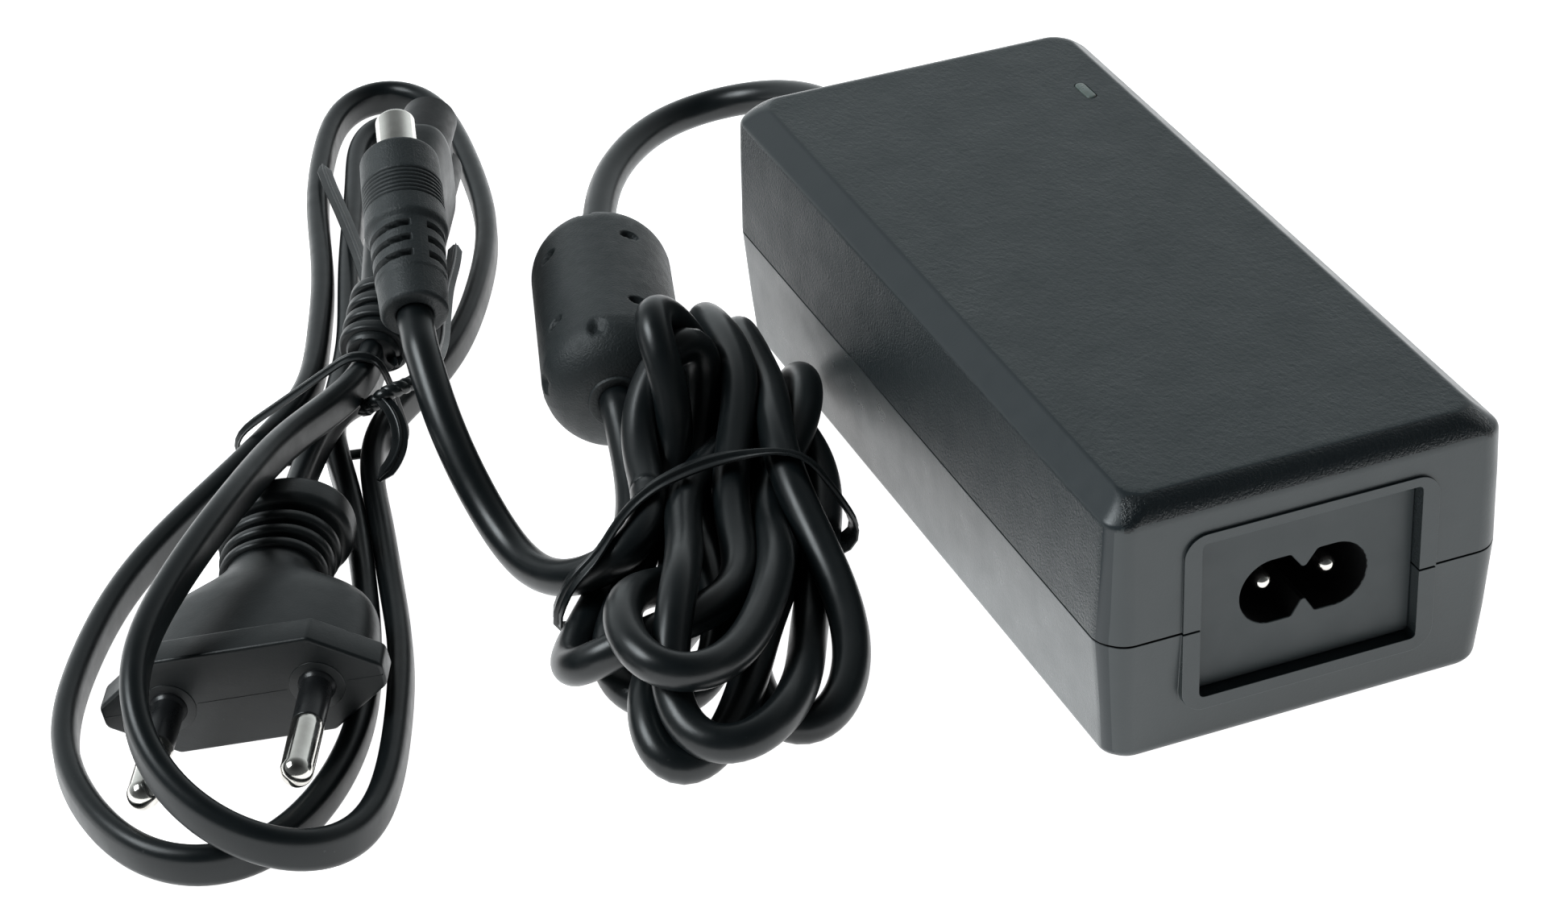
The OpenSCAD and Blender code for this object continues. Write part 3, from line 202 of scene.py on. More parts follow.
M["plastic_brown"] = plastic("plastic_brown", (0.10, 0.045, 0.02), (0.15, 0.07, 0.032), (0.35, 0.5), [(1500, 3, 0.25, 0.03)], 150)
M["plastic_white"] = plastic("plastic_white", (0.55, 0.55, 0.52), (0.66, 0.66, 0.63), (0.4, 0.52), [(1500, 3, 0.2, 0.03)], 150)
M["ceramic_blue"] = plastic("ceramic_blue", (0.02, 0.09, 0.32), (0.035, 0.13, 0.42), (0.22, 0.34), [(420, 3, 0.3, 0.08)], 200)
M["film_yellow"] = plastic("film_yellow", (0.5, 0.34, 0.03), (0.6, 0.42, 0.05), (0.35, 0.5), [(1800, 3, 0.2, 0.03)], 150)
M["capacitor_sleeve"] = plastic("capacitor_sleeve", (0.008, 0.02, 0.055), (0.014, 0.03, 0.075), (0.2, 0.32), [(300, 2, 0.2, 0.08)], 150)
M["tape_yellow"] = plastic("tape_yellow", (0.52, 0.36, 0.04), (0.62, 0.44, 0.06), (0.25, 0.4), [(260, 2, 0.35, 0.1, (0.2, 0.2, 1.0))], 150)
M["ferrite"] = plastic("ferrite", (0.02, 0.021, 0.023), (0.045, 0.046, 0.05), (0.45, 0.65), [(1300, 4, 0.5, 0.06)], 300)
M["paper_cream"] = plastic("paper_cream", (0.55, 0.5, 0.38), (0.66, 0.61, 0.48), (0.7, 0.85), [(2600, 5, 0.4, 0.03)], 300)
M["board_green"] = plastic("board_green", (0.008, 0.06, 0.022), (0.012, 0.085, 0.032), (0.25, 0.4), [(500, 3, 0.3, 0.03, (1, 0.15, 1))], 220)


def wires_material():
    m = Mat("wire_insulation")
    sep = m.t.nodes.new("ShaderNodeSeparateXYZ")
    m.link(m.co, sep.inputs[0])
    side = m.map(sep.outputs[0], -0.0001, 0.0001, 0.0, 1.0)
    m.link(m.ramp(side, [(0.0, (0.015, 0.015, 0.016)), (1.0, (0.35, 0.02, 0.015))]), m.b.inputs["Base Color"])
    m.link(m.map(m.noise(500), 0.3, 0.7, 0.3, 0.42), m.b.inputs["Roughness"])
    m.bump(m.noise(700, 3), 0.2, 0.04)
    return m.done()


M["wire"] = wires_material()


def window_material():
    m = Mat("window_green")
    m.link(m.ramp(m.noise(700, 4), [(0.3, (0.13, 0.165, 0.15)), (0.7, (0.17, 0.21, 0.19))]), m.b.inputs["Base Color"])
    m.link(m.map(m.noise(1500), 0.3, 0.7, 0.25, 0.38), m.b.inputs["Roughness"])
    m.b.inputs["Transmission Weight"].default_value = 0.12
    m.b.inputs["Subsurface Weight"].default_value = 0.1
    m.b.inputs["Subsurface Scale"].default_value = 0.0006
    m.bump(m.noise(900, 3), 0.25, 0.03)
    return m.done()


M["window"] = window_material()


def label_material():
    """Blank grey label: a fine border frame, faint print-film grain, no lettering."""
    m = Mat("label_grey")
    base = m.ramp(m.noise(900, 4), [(0.3, (0.24, 0.245, 0.25)), (0.7, (0.29, 0.295, 0.3))])
    sep = m.t.nodes.new("ShaderNodeSeparateXYZ")
    m.link(m.co, sep.inputs[0])

    def dist(axis, half):
        a = m.t.nodes.new("ShaderNodeMath")
        a.operation = "ABSOLUTE"
        m.link(sep.outputs[axis], a.inputs[0])
        s = m.t.nodes.new("ShaderNodeMath")
        s.operation = "SUBTRACT"
        s.inputs[1].default_value = half
        m.link(a.outputs[0], s.inputs[0])
        return s.outputs[0]

    mx = m.t.nodes.new("ShaderNodeMath")
    mx.operation = "MAXIMUM"
    m.link(dist(0, 18.0 * MM), mx.inputs[0])
    m.link(dist(1, 42.0 * MM), mx.inputs[1])
    ab = m.t.nodes.new("ShaderNodeMath")
    ab.operation = "ABSOLUTE"
    m.link(mx.outputs[0], ab.inputs[0])
    line = m.map(ab.outputs[0], 0.12 * MM, 0.18 * MM, 1.0, 0.0)
    mix = m.t.nodes.new("ShaderNodeMixRGB")
    m.link(line, mix.inputs[0])
    m.link(base, mix.inputs[1])
    mix.inputs[2].default_value = (0.03, 0.032, 0.034, 1)
    m.link(mix.outputs[0], m.b.inputs["Base Color"])
    m.link(m.map(m.noise(2000), 0.3, 0.7, 0.4, 0.5), m.b.inputs["Roughness"])
    m.bump(m.noise(3500, 3), 0.25, 0.01)
    return m.done()


M["label"] = label_material()

# ------------------------------------------------------------ mesh building
def fix_normals(me):
    bm = bmesh.new()
    bm.from_mesh(me)
    bmesh.ops.recalc_face_normals(bm, faces=bm.faces)
    bm.to_mesh(me)
    bm.free()


def make(name, V, F, mats, smooth=True, sharp=None, fix=True):
    me = bpy.data.meshes.new(name)
    me.from_pydata([tuple(v) for v in (np.asarray(V, float) * MM)], [], [tuple(int(i) for i in f) for f in F])
    for m in mats if isinstance(mats, (list, tuple)) else [mats]:
        me.materials.append(m)
    if fix:
        fix_normals(me)
    me.polygons.foreach_set("use_smooth", [smooth] * len(me.polygons))
    if sharp:
        me.set_sharp_from_angle(angle=math.radians(sharp))
    me.update()
    o = bpy.data.objects.new(name, me)
    scene.collection.objects.link(o)
    return o


def ring_faces(n, m, cap0=True, cap1=True, off=0):
    F = []
    for i in range(n - 1):
        a = off + i * m
        for j in range(m):
            k = (j + 1) % m
            F.append((a + j, a + k, a + m + k, a + m + j))
    if cap0:
        F.append(tuple(off + j for j in range(m - 1, -1, -1)))
    if cap1:
        F.append(tuple(off + (n - 1) * m + j for j in range(m)))
    return F


def merge(parts):
    """[(V, F)] -> one V, F"""
    V, F, o = [], [], 0
    for v, f in parts:
        V.append(np.asarray(v, float))
        F += [tuple(i + o for i in t) for t in f]
        o += len(v)
    return np.concatenate(V), F


def unit(v):
    v = np.asarray(v, float)
    return v / (np.linalg.norm(v, axis=-1, keepdims=True) + 1e-12)


def tangents(P):
    T = np.empty_like(P)
    T[1:-1] = P[2:] - P[:-2]
    T[0] = P[1] - P[0]
    T[-1] = P[-1] - P[-2]
    return unit(T)


def transport(P):
    """parallel-transport frames"""
    T = tangents(P)
    a = unit(np.cross(T[0], [0.2, 0.3, 1.0]))
    A = [a]
    for i in range(1, len(P)):
        a = A[-1] - T[i] * (A[-1] @ T[i])
        A.append(unit(a))
    A = np.array(A)
    return T, A, np.cross(T, A)


def upright(P):
    T = tangents(P)
    A = unit(np.cross(np.array([0, 0, 1.0])[None].repeat(len(P), 0), T))
    for _ in range(4):
        A[1:-1] = unit(A[:-2] + 2 * A[1:-1] + A[2:])
    A = unit(A - T * (A * T).sum(1)[:, None])
    return T, A, np.cross(T, A)


def sweep(P, S, frames, round0=0.0, round1=0.0):
    """S: section points (m,2) or a function of step index; rounded ends of the given length"""
    T, A, B = frames
    n = len(P)
    R = []
    if round0:
        for q in (86, 70, 50, 28):
            c = P[0] - T[0] * round0 * math.sin(math.radians(q))
            k = math.cos(math.radians(q))
            R.append(c + (S[:, :1] * A[0] + S[:, 1:] * B[0]) * k)
    for i in range(n):
        R.append(P[i] + S[:, :1] * A[i] + S[:, 1:] * B[i])
    if round1:
        for q in (28, 50, 70, 86):
            c = P[-1] + T[-1] * round1 * math.sin(math.radians(q))
            k = math.cos(math.radians(q))
            R.append(c + (S[:, :1] * A[-1] + S[:, 1:] * B[-1]) * k)
    R = np.array(R)
    return R.reshape(-1, 3), ring_faces(len(R), len(S))


def circle(r, n):
    a = np.arange(n) * 2 * np.pi / n
    return np.stack([np.cos(a) * r, np.sin(a) * r], 1)


def stadium(w, h, n, p=2.6):
    """flat cord section w across, h tall, upright, edges half round"""
    a = (np.arange(n) + 0.5) * 2 * np.pi / n
    r = w / 2
    x, y = np.cos(a) * r, np.sin(a) * r
    y = y + np.sign(y) * (h / 2 - r)
    return np.stack([x, y], 1)


def basis(origin, X, Y, Z):
    B = np.stack([X, Y, Z], 1)
    return lambda v: np.asarray(v, float) @ B.T + np.asarray(origin, float)


def Rz(a):
    a = math.radians(a)
    return np.array([[math.cos(a), -math.sin(a), 0], [math.sin(a), math.cos(a), 0], [0, 0, 1.0]])


def Ry(a):
    a = math.radians(a)
    return np.array([[math.cos(a), 0, math.sin(a)], [0, 1.0, 0], [-math.sin(a), 0, math.cos(a)]])


def Rx(a):
    a = math.radians(a)
    return np.array([[1.0, 0, 0], [0, math.cos(a), -math.sin(a)], [0, math.sin(a), math.cos(a)]])


# ---------------------------------------------------------------- curve rules
def crom(P, m):
    P = [np.array(p, float) for p in P]
    n = len(P)
    out = []
    for i in range(n - 1):
        p0 = P[i - 1] if i > 0 else 2 * P[0] - P[1]
        p1, p2 = P[i], P[i + 1]
        p3 = P[i + 2] if i + 2 < n else 2 * P[n - 1] - P[n - 2]
        a, b, c = (math.sqrt(np.linalg.norm(q) + 0.001) for q in (p1 - p0, p2 - p1, p3 - p2))
        m1 = b * ((p1 - p0) / a - (p2 - p0) / (a + b) + (p2 - p1) / b)
        m2 = b * ((p2 - p1) / b - (p3 - p1) / (b + c) + (p3 - p2) / c)
        for k in range(m):
            t = k / m
            t2, t3 = t * t, t * t * t
            out.append((2 * t3 - 3 * t2 + 1) * p1 + (t3 - 2 * t2 + t) * m1 + (3 * t2 - 2 * t3) * p2 + (t3 - t2) * m2)
    out.append(P[-1])
    return np.array(out)


def resample(Q, ds):
    Q = np.asarray(Q, float)
    d = np.concatenate([[0], np.cumsum(np.linalg.norm(np.diff(Q, axis=0), axis=1))])
    n = int(round(d[-1] / ds))
    s = np.linspace(0, d[-1], n + 1)
    return np.stack([np.interp(s, d, Q[:, k]) for k in range(3)], 1)


def spread(F, m):
    for _ in range(m):
        F = np.concatenate([F[:1], (F[:-2] + 2 * F[1:-1] + F[2:]) / 4, F[-1:]])
    return F


def even_out(P, m):
    """smooths a curve without shrinking it"""
    for _ in range(m):
        for w in (0.5, -0.51):
            L = np.zeros_like(P)
            L[4:-4] = (P[3:-5] + P[5:-3]) / 2 - P[4:-4]
            P = P + w * L
    return P


def relax(P, n_it, D, skip, r, xm, w, cap):
    """pushes crossing strands apart in long, gentle bends"""
    P = P.copy()
    n = len(P)
    idx = np.arange(n)
    a, b, R = cap
    ab = b - a
    for it in range(n_it):
        if it % 8 == 0:
            dd = np.linalg.norm(P[None] - P[:, None], axis=2)
            pi, pj = np.nonzero((np.abs(idx[:, None] - idx[None]) > skip) & (dd < D + 5))
        d = P[pj] - P[pi]
        l = np.linalg.norm(d, axis=1) + 1e-6
        f = np.zeros_like(P)
        np.add.at(f, pi, np.where(l < D, (l - D) / l * 0.5, 0)[:, None] * d)
        hits = np.zeros(n)
        np.add.at(hits, pi, (l < D) * 1.0)
        f /= np.maximum(hits, 1)[:, None]
        t = np.clip(((P - a) @ ab) / (ab @ ab), 0, 1)[:, None]
        v = P - (a + t * ab)
        dn = np.linalg.norm(v, axis=1)[:, None]
        f += np.where((dn < R) & (idx[:, None] > 12), v * ((R - dn) / (dn + 1e-6)), 0)
        f[:, 0] += np.minimum(xm - P[:, 0], 0)
        wv = np.stack([P[:, 0] - w[0], P[:, 1] - w[1]], 1) @ np.array(w[2]).T
        f[:, 2] += np.maximum(r + w[3] * np.exp(-(wv ** 2).sum(1)) - P[:, 2], 0)
        f[:4] = 0
        f[-4:] = 0
        g = spread(f, 6) * 1.5
        P[4:-4] += g[4:-4]
        P = even_out(P, 10)
    return P


def settle(Q, n_it, D, skip, r, xm, w, cap, stiff=0.08):
    P = Q.copy()
    n = len(P)
    idx = np.arange(n)
    far = np.abs(idx[:, None] - idx[None]) > skip
    M_ = None
    for it in range(n_it, 0, -1):
        if M_ is None or it % 15 == 0:
            dd = np.linalg.norm(P[None] - P[:, None], axis=2)
            pi, pj = np.nonzero(far & (dd < D + 7))
            M_ = True
        d = P[pj] - P[pi]
        l = np.linalg.norm(d, axis=1) + 1e-6
        k = np.where(l < D, (l - D) / l * 0.5, 0)
        f = np.zeros_like(P)
        np.add.at(f, pi, k[:, None] * d)
        if cap is not None:
            a, b, R = cap
            ab = b - a
            t = np.clip(((P - a) @ ab) / (ab @ ab), 0, 1)[:, None]
            v = P - (a + t * ab)
            dn = np.linalg.norm(v, axis=1)[:, None]
            f = f + np.where((dn < R) & (idx[:, None] > 6 * 4 / max(1e-6, np.linalg.norm(Q[1] - Q[0]))), v * ((R - dn) / (dn + 1e-6)), 0)
        lap = np.zeros_like(P)
        lap[1:-1] = P[:-2] + P[2:] - 2 * P[1:-1]
        s = P.copy()
        s[3:-3] = P[3:-3] + (f[2:-4] + 2 * f[3:-3] + f[4:-2]) / 4 - stiff * (lap[2:-4] - 2 * lap[3:-3] + lap[4:-2])
        q = s[3:-3]
        q[:, 0] = np.minimum(q[:, 0], xm)
        wv = np.stack([q[:, 0] - w[0], q[:, 1] - w[1]], 1) @ np.array(w[2]).T
        lift = w[3] * np.exp(-(wv ** 2).sum(1))
        q[:, 2] = np.maximum(q[:, 2], r + lift)
        P = s
    return P



# ------------------------------------------------------------------ cords
coil_route = [
    (-53, 36.4, 10), (-55, 29.6, 10), (-57, 22, 5), (-58, 14, 3), (-63, 2, 2.4), (-71, -7, 2.4),
    (-77, -14, 2.4), (-77, -21, 2.6), (-72, -22, 4), (-65, -19, 6), (-59, -15, 7), (-53, -8, 9),
    (-50, 3, 10.5), (-45, 18, 10), (-40, 37, 9.5), (-37, 47, 9), (-34, 50, 8), (-33, 47, 5),
    (-38, 28, 2.4), (-43, 13, 3), (-49, -5, 2.4), (-56, -21, 2.4), (-60, -34, 2.4), (-59, -41, 2.4),
    (-55, -38, 2.6), (-50, -28, 3.5), (-46, -18, 4.5), (-44, -10, 7), (-44, 1, 9), (-41, 13, 9.5),
    (-37, 30, 9), (-34, 42, 9), (-30, 47, 8), (-29, 41, 7), (-32, 30, 6), (-37, 16, 6.2),
    (-41, 3, 6.2), (-46, -9, 4), (-51, -22, 3.5), (-57, -33, 3), (-64, -41, 2.5), (-70, -45, 2.4),
    (-72, -41, 2.4), (-71, -35, 4), (-68, -29, 7), (-64, -19, 8), (-59, -8, 9.5), (-55, 1, 10.5),
    (-51, 16, 9), (-44, 34, 7), (-39, 47, 5), (-37, 50, 3), (-40, 39, 2.4), (-44, 24, 2.4),
    (-48, 11, 3), (-55, -2, 2.4), (-63, -14, 2.4), (-70, -24, 2.4), (-75, -33, 2.4), (-75, -39, 2.4),
    (-71, -40, 2.4), (-63, -33, 2.4), (-55, -20, 2.6), (-48, -6, 2.6), (-42, 8, 3), (-36, 23, 2.4),
    (-31, 35, 3), (-29, 40, 4.5), (-30, 34, 6), (-34, 24, 6.2), (-41, 11, 9), (-48, -2, 10.5),
    (-51, -11, 9), (-58, -22, 8.5), (-65, -30, 8), (-72, -37, 7), (-74, -35, 5.5), (-73, -29, 5),
    (-68, -20, 5), (-62, -8, 4), (-57, 6, 3.5), (-53, 20, 2.4), (-51, 32, 4), (-54, 32, 11),
    (-58, 25, 19), (-57, 25, 21), (-53, 29, 14), (-52, 26, 7.5), (-54, 14, 6.2), (-58, 1, 6),
    (-63, -7, 3), (-69, -15, 2.5), (-73, -21, 2.4), (-72, -25, 2.4), (-67, -22, 3.5), (-61, -11, 4.5),
    (-57, -2, 6.2), (-52, 11, 6.2), (-48, 25, 7), (-48, 30, 14), (-50, 28, 21), (-53, 28, 22.4),
    (-54, 28, 19), (-54, 28, 12), (-56, 14, 10.5), (-59, 3, 10.5), (-60, -2, 7.5), (-62, -4, 5),
    (-66, -5, 3.6), (-69, -1, 2.8), (-72, 6, 3), (-74, 14, 4), (-76, 19, 6.5), (-77, 24, 9.5),
    (-79, 28, 13.5), (-79, 34, 17.5), (-78, 41, 20), (-77, 46, 21.4),
]
mains_route = [
    (-79.8, 56.6, 13), (-81.6, 53.2, 12.6), (-84.4, 48.6, 12.4), (-88.6, 43.6, 12.9), (-94, 38.5, 14.3), (-103, 26.6, 17.6),
    (-112.2, 13, 20.2), (-119.3, 4.2, 20.6), (-125, -4, 20), (-131, -14, 19), (-133, -20, 17), (-133, -25, 13.5),
    (-129, -32, 9.5), (-124, -38, 8.5), (-118, -39, 5), (-111, -34, 2.7), (-105, -25, 2.7), (-100, -13, 2.7),
    (-95, 1, 2.7), (-93, 13, 2.7), (-89, 28, 2.7), (-87, 40, 2.7), (-83, 48, 2.7), (-79, 53, 2.7),
    (-73, 59, 2.7), (-66, 67, 2.7), (-59, 79, 2.7), (-52, 94, 2.7), (-48, 111, 2.7), (-46, 129, 2.7),
    (-47, 142, 2.7), (-51, 148, 2.7), (-57, 145, 2.7), (-64, 134, 2.7), (-71, 117, 2.7), (-76, 98, 2.7),
    (-81, 82, 2.7), (-86, 70, 2.7), (-90, 60, 2.7), (-96, 55, 2.7), (-103, 48, 2.7), (-111, 41, 2.7),
    (-120, 32, 2.7), (-127, 23, 2.7), (-133, 12, 2.7), (-138, 1, 2.7), (-139.5, -9, 2.7), (-138, -20, 2.7),
    (-134, -30, 2.7), (-127, -34, 2.7), (-120, -31, 2.7), (-114, -26, 2.7), (-108, -19, 2.7), (-103, -9, 2.7),
    (-99, 2, 2.7), (-95, 16, 2.7), (-92, 30, 2.7), (-90, 42, 2.7), (-87, 52, 2.7), (-84, 61, 2.7),
    (-80, 72, 2.7), (-76, 85, 2.7), (-70, 103, 2.7), (-63, 122, 2.7), (-58, 134, 2.7), (-54, 138, 2.7),
    (-51, 132, 2.7), (-52, 123, 2.7), (-57, 108, 2.7), (-63, 92, 2.7), (-71, 78, 2.7), (-78, 68, 2.7),
    (-83, 58, 2.7), (-89, 47, 4.4), (-96, 37, 7.8), (-99.2, 30.8, 8.7), (-101.3, 26.3, 8.6), (-103.4, 21.8, 8.6),
]


FAR, NEAR = np.array([-43, 70, 10.0]), np.array([-54.3, 32, 10.0])
DC = 2.4
coil0 = settle(resample(crom(coil_route, 8), 4), 90, 4.8, 3, 2.25, -29.5, [-50.5, 6, [[0.02, 0], [0, 0.12]], 1.1], (FAR, NEAR, 12.3))
mk = 3.2 / 5.3
mains0 = settle(resample(crom(np.array(mains_route) * [1, 1, mk], 8), 3), 90, 3.45, 3, 1.63, 1000, [-87, 50, [[0.1, 0], [0, 0.1]], 0.75], None)
# a second, finer settling takes the last overlaps and small kinks out
lie = (4.5, 5, 2.42, -29.3, [-50.5, 6, [[0.02, 0], [0, 0.12]], 1.1], (FAR, NEAR, 12.3))
coil = relax(even_out(resample(crom(coil0, 2), 2.0), 60), 160, *lie)
coil = relax(resample(coil, 2.0), 40, *lie)
coil = resample(crom(coil, 2), 1.0)
mains = settle(resample(crom(mains0, 2), 2), 60, 3.3, 5, 1.63, 1000, [-87, 50, [[0.1, 0], [0, 0.1]], 0.75], None, 0.11)
mains = resample(crom(mains / [1, 1, mk], 2), 1.0)

# the tail of the coil leaves under the tie
tie_y = 6.0
n_all = len(coil)
arc = np.concatenate([[0], np.cumsum(np.linalg.norm(np.diff(coil, axis=0), axis=1))])
cand = [i for i in range(n_all - 1) if (coil[i, 1] - tie_y) * (coil[i + 1, 1] - tie_y) <= 0 and i > n_all * 0.5]
# last crossing before the tail climbs to the plug
cross = [i for i in cand if coil[i, 0] > -66][-1]
print("tail leaves at", cross, "of", n_all, coil[cross])
sec = circle(DC, 28)
V, F = sweep(coil[: cross + 1], sec, transport(coil[: cross + 1]), 0, 0.8)
cord_coil = make("coil_cord", V, F, M["cord"])
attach(cord_coil, "output_lead")
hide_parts("output_cord_coil")

at_plug_B = Rz(75) @ Ry(71)
plug_at = np.array([-77, 46, 21.4])
plug_axis = at_plug_B @ np.array([0, 0, 1.0])
tail = coil[cross:]
keep = tail[np.linalg.norm(tail - plug_at, axis=1) > 3.0]
tail = np.concatenate([keep, [plug_at + plug_axis * t for t in (-1.2, 0.2, 1.6, 3.0)]])
tail = resample(crom(resample(tail, 3.0), 4), 1.0)
V, F = sweep(tail, sec, transport(tail), 0.8, 0)
cord_tail = make("plug_tail_cord", V, F, M["cord"])
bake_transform(cord_tail)
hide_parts("plug_cord")

# brick to ferrite
start_route = [[0, 57.5, 17.7], [0, 61, 17.7], [0, 66, 17.7], [0, 76, 17.6], [0, 86, 16.6], [-2, 95, 14.8], [-5, 101.5, 12.5], [-9, 105, 11]]
lead_route = [[-15.6, 106.2, 10], [-21, 104, 10], [-26.5, 100, 10], [-31.5, 94.5, 10], [-35.5, 88.5, 10], [-38.5, 82, 10], [-41, 76, 10], [-42.9, 70, 10], [-43.6, 67.6, 10]]
lead = resample(crom(start_route + lead_route, 8), 2.0)
for _ in range(12):
    lead[2:-2] += 0.25 * (lead[1:-3] + lead[3:-1] - 2 * lead[2:-2])
lead = resample(crom(lead, 3), 1.0)
V, F = sweep(lead, sec, transport(lead))
cord_lead = make("lead_cord", V, F, M["cord"])
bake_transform(cord_lead)
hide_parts("output_cord_start", "output_cord")

# mains cord, flat, standing on edge
frames = upright(mains)
V, F = sweep(mains, stadium(3.2, 5.3, 32), frames)
mains_obj = make("flat_mains_cord", V, F, M["flat_cord"])
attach(mains_obj, "mains_lead")
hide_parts("mains_cord")


# ------------------------------------------------------------------- ties
def polar_hull(Q, rx, rz, g, n):
    f = np.arange(n) * 2 * np.pi / n
    U = np.stack([np.cos(f), np.sin(f)], 1)
    H = (Q @ U.T).max(0) + np.sqrt((rx * U[:, 0]) ** 2 + (rz * U[:, 1]) ** 2) + g
    out = []
    for i in range(n):
        d = np.abs(((np.arange(n) - i) * 2 * np.pi / n + 3 * np.pi) % (2 * np.pi) - np.pi)
        k = d < math.radians(75)
        out.append(U[i] * (H[k] / np.cos(d[k])).min())
    return np.array(out)


def cross_points(P, c, a, span, depth=4.0):
    m = np.cross(a, [0, 0, 1.0])
    d = P - c
    k = (np.abs(d @ m) < depth) & (np.abs(d @ a) < span)
    return np.stack([d[k] @ a, d[k, 2]], 1)


def strap_section(w, t, rib):
    """flat strap with a wire rib down its middle: u across the width, v outwards"""
    return np.array([(-w / 2, 0.06), (-w / 2 + 0.08, 0), (w / 2 - 0.08, 0), (w / 2, 0.06), (w / 2, t * 0.62), (w / 2 - 0.12, t * 0.72), (w * 0.24, t * 0.72),
                     (w * 0.15, t * 0.78), (w * 0.09, t + rib * 0.75), (0.0, t + rib), (-w * 0.09, t + rib * 0.75), (-w * 0.15, t * 0.78), (-w * 0.24, t * 0.72),
                     (-w / 2 + 0.12, t * 0.72), (-w / 2, t * 0.62)])


def closed_strap(C, out_dir, S):
    """closed loop of centre points C with outward directions"""
    n, m = len(C), len(S)
    T = unit(np.roll(C, -1, 0) - np.roll(C, 1, 0))
    O = unit(out_dir - T * (out_dir * T).sum(1)[:, None])
    W = np.cross(T, O)
    R = C[:, None] + S[None, :, :1] * W[:, None] + S[None, :, 1:] * O[:, None]
    F = []
    for i in range(n):
        a, b = i * m, ((i + 1) % n) * m
        for j in range(m):
            k = (j + 1) % m
            F.append((a + j, a + k, b + k, b + j))
    return R.reshape(-1, 3), F


def open_strap(C, out_dir, S, taper=0):
    T = tangents(C)
    O = unit(out_dir - T * (out_dir * T).sum(1)[:, None])
    W = np.cross(T, O)
    n, m = len(C), len(S)
    k = np.ones(n)
    if taper:
        e = np.minimum(np.arange(n), np.arange(n)[::-1])
        k = np.clip(0.35 + 0.65 * e / taper, 0, 1)
    R = C[:, None] + S[None, :, :1] * k[:, None, None] * W[:, None] + S[None, :, 1:] * O[:, None]
    return R.reshape(-1, 3), ring_faces(n, m)


def loop_smooth(C, it):
    for _ in range(it):
        C = (np.roll(C, 1, 0) + 2 * C + np.roll(C, -1, 0)) / 4
    return C


tie_c, tie_a = np.array([-53.0, 5.0, 5.5]), np.array([1.0, 0, 0])


def tie_sheet(x):
    """how far along the coil the strap runs, at each place across it"""
    return np.maximum(5.2 - 0.030 * (x + 53.0) ** 2, -3.0)


near_strap = np.abs(coil[:, 1] - tie_sheet(coil[:, 0])) < 3.2
near_strap &= np.abs(coil[:, 0] - tie_c[0]) < 22
Q = polar_hull(np.stack([coil[near_strap, 0] - tie_c[0], coil[near_strap, 2] - tie_c[2]], 1), DC, DC, 0.15, 96)
C = tie_c + Q[:, :1] * tie_a + np.stack([Q[:, 0] * 0, Q[:, 0] * 0, Q[:, 1]], 1)
C[:, 1] = tie_sheet(C[:, 0]) + 0.35 * np.sin(np.linspace(0, 2 * np.pi, 96, endpoint=False) * 2)
C = loop_smooth(C, 2)
O = C - tie_c
O[:, 1] = 0
V1, F1 = closed_strap(C, O, strap_section(2.9, 0.5, 0.32))
# strap point on the floor side of the bundle, not used further
i0 = int(np.argmin(np.abs(np.degrees(np.arctan2(Q[:, 1], Q[:, 0])) - 205 + 360) % 360))
tie_obj = make("coil_tie", V1, F1, M["tie"], sharp=50)
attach(tie_obj, "output_lead")
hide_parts("cord_tie")

# mains tie: strap round the waist, twisted knot and tails
mc, ma = np.array([-87, 50, 5.0]), unit(np.array([0.95, -0.3, 0]))
mm = np.cross(ma, [0, 0, 1.0])
Q = polar_hull(cross_points(mains, mc, ma, 16), 1.6, 2.65, 0.12, 96)
C = mc + Q[:, :1] * ma + np.stack([Q[:, 0] * 0, Q[:, 0] * 0, Q[:, 1]], 1)
C = loop_smooth(C, 3)
O = C - mc
O = O - mm * (O @ mm)[:, None]
parts = [closed_strap(C, O, strap_section(2.3, 0.42, 0.3))]


def wire_path(pts, ds=0.6):
    return resample(crom(pts, 8), ds)


def twisted(pts, r, pitch, rad, k=2, grow=0.15):
    P = wire_path(pts, 0.35)
    T, A, B = transport(P)
    s = np.concatenate([[0], np.cumsum(np.linalg.norm(np.diff(P, axis=0), axis=1))])
    out = []
    for j in range(k):
        ph = s / pitch * 2 * np.pi + j * 2 * np.pi / k
        rr = rad * (1 - 0.25 * s / s[-1])
        X = P + A * (np.cos(ph) * rr)[:, None] + B * (np.sin(ph) * rr)[:, None]
        S = np.array([(math.cos(a) * r, math.sin(a) * r * 0.62) for a in np.linspace(0, 2 * np.pi, 14, endpoint=False)])
        Tx = tangents(X)
        Ox = unit(X - P)
        Ox = unit(Ox - Tx * (Ox * Tx).sum(1)[:, None])
        Wx = np.cross(Tx, Ox)
        R = X[:, None] + S[None, :, :1] * Wx[:, None] + S[None, :, 1:] * Ox[:, None]
        out.append((R.reshape(-1, 3), ring_faces(len(X), len(S))))
    return out


def tail_strap(pts, w, t):
    P = wire_path(pts, 0.6)
    O = np.tile(np.array([[0.05, -0.35, 1.0]]), (len(P), 1))
    return open_strap(P, O, strap_section(w, t, 0.22), 3)


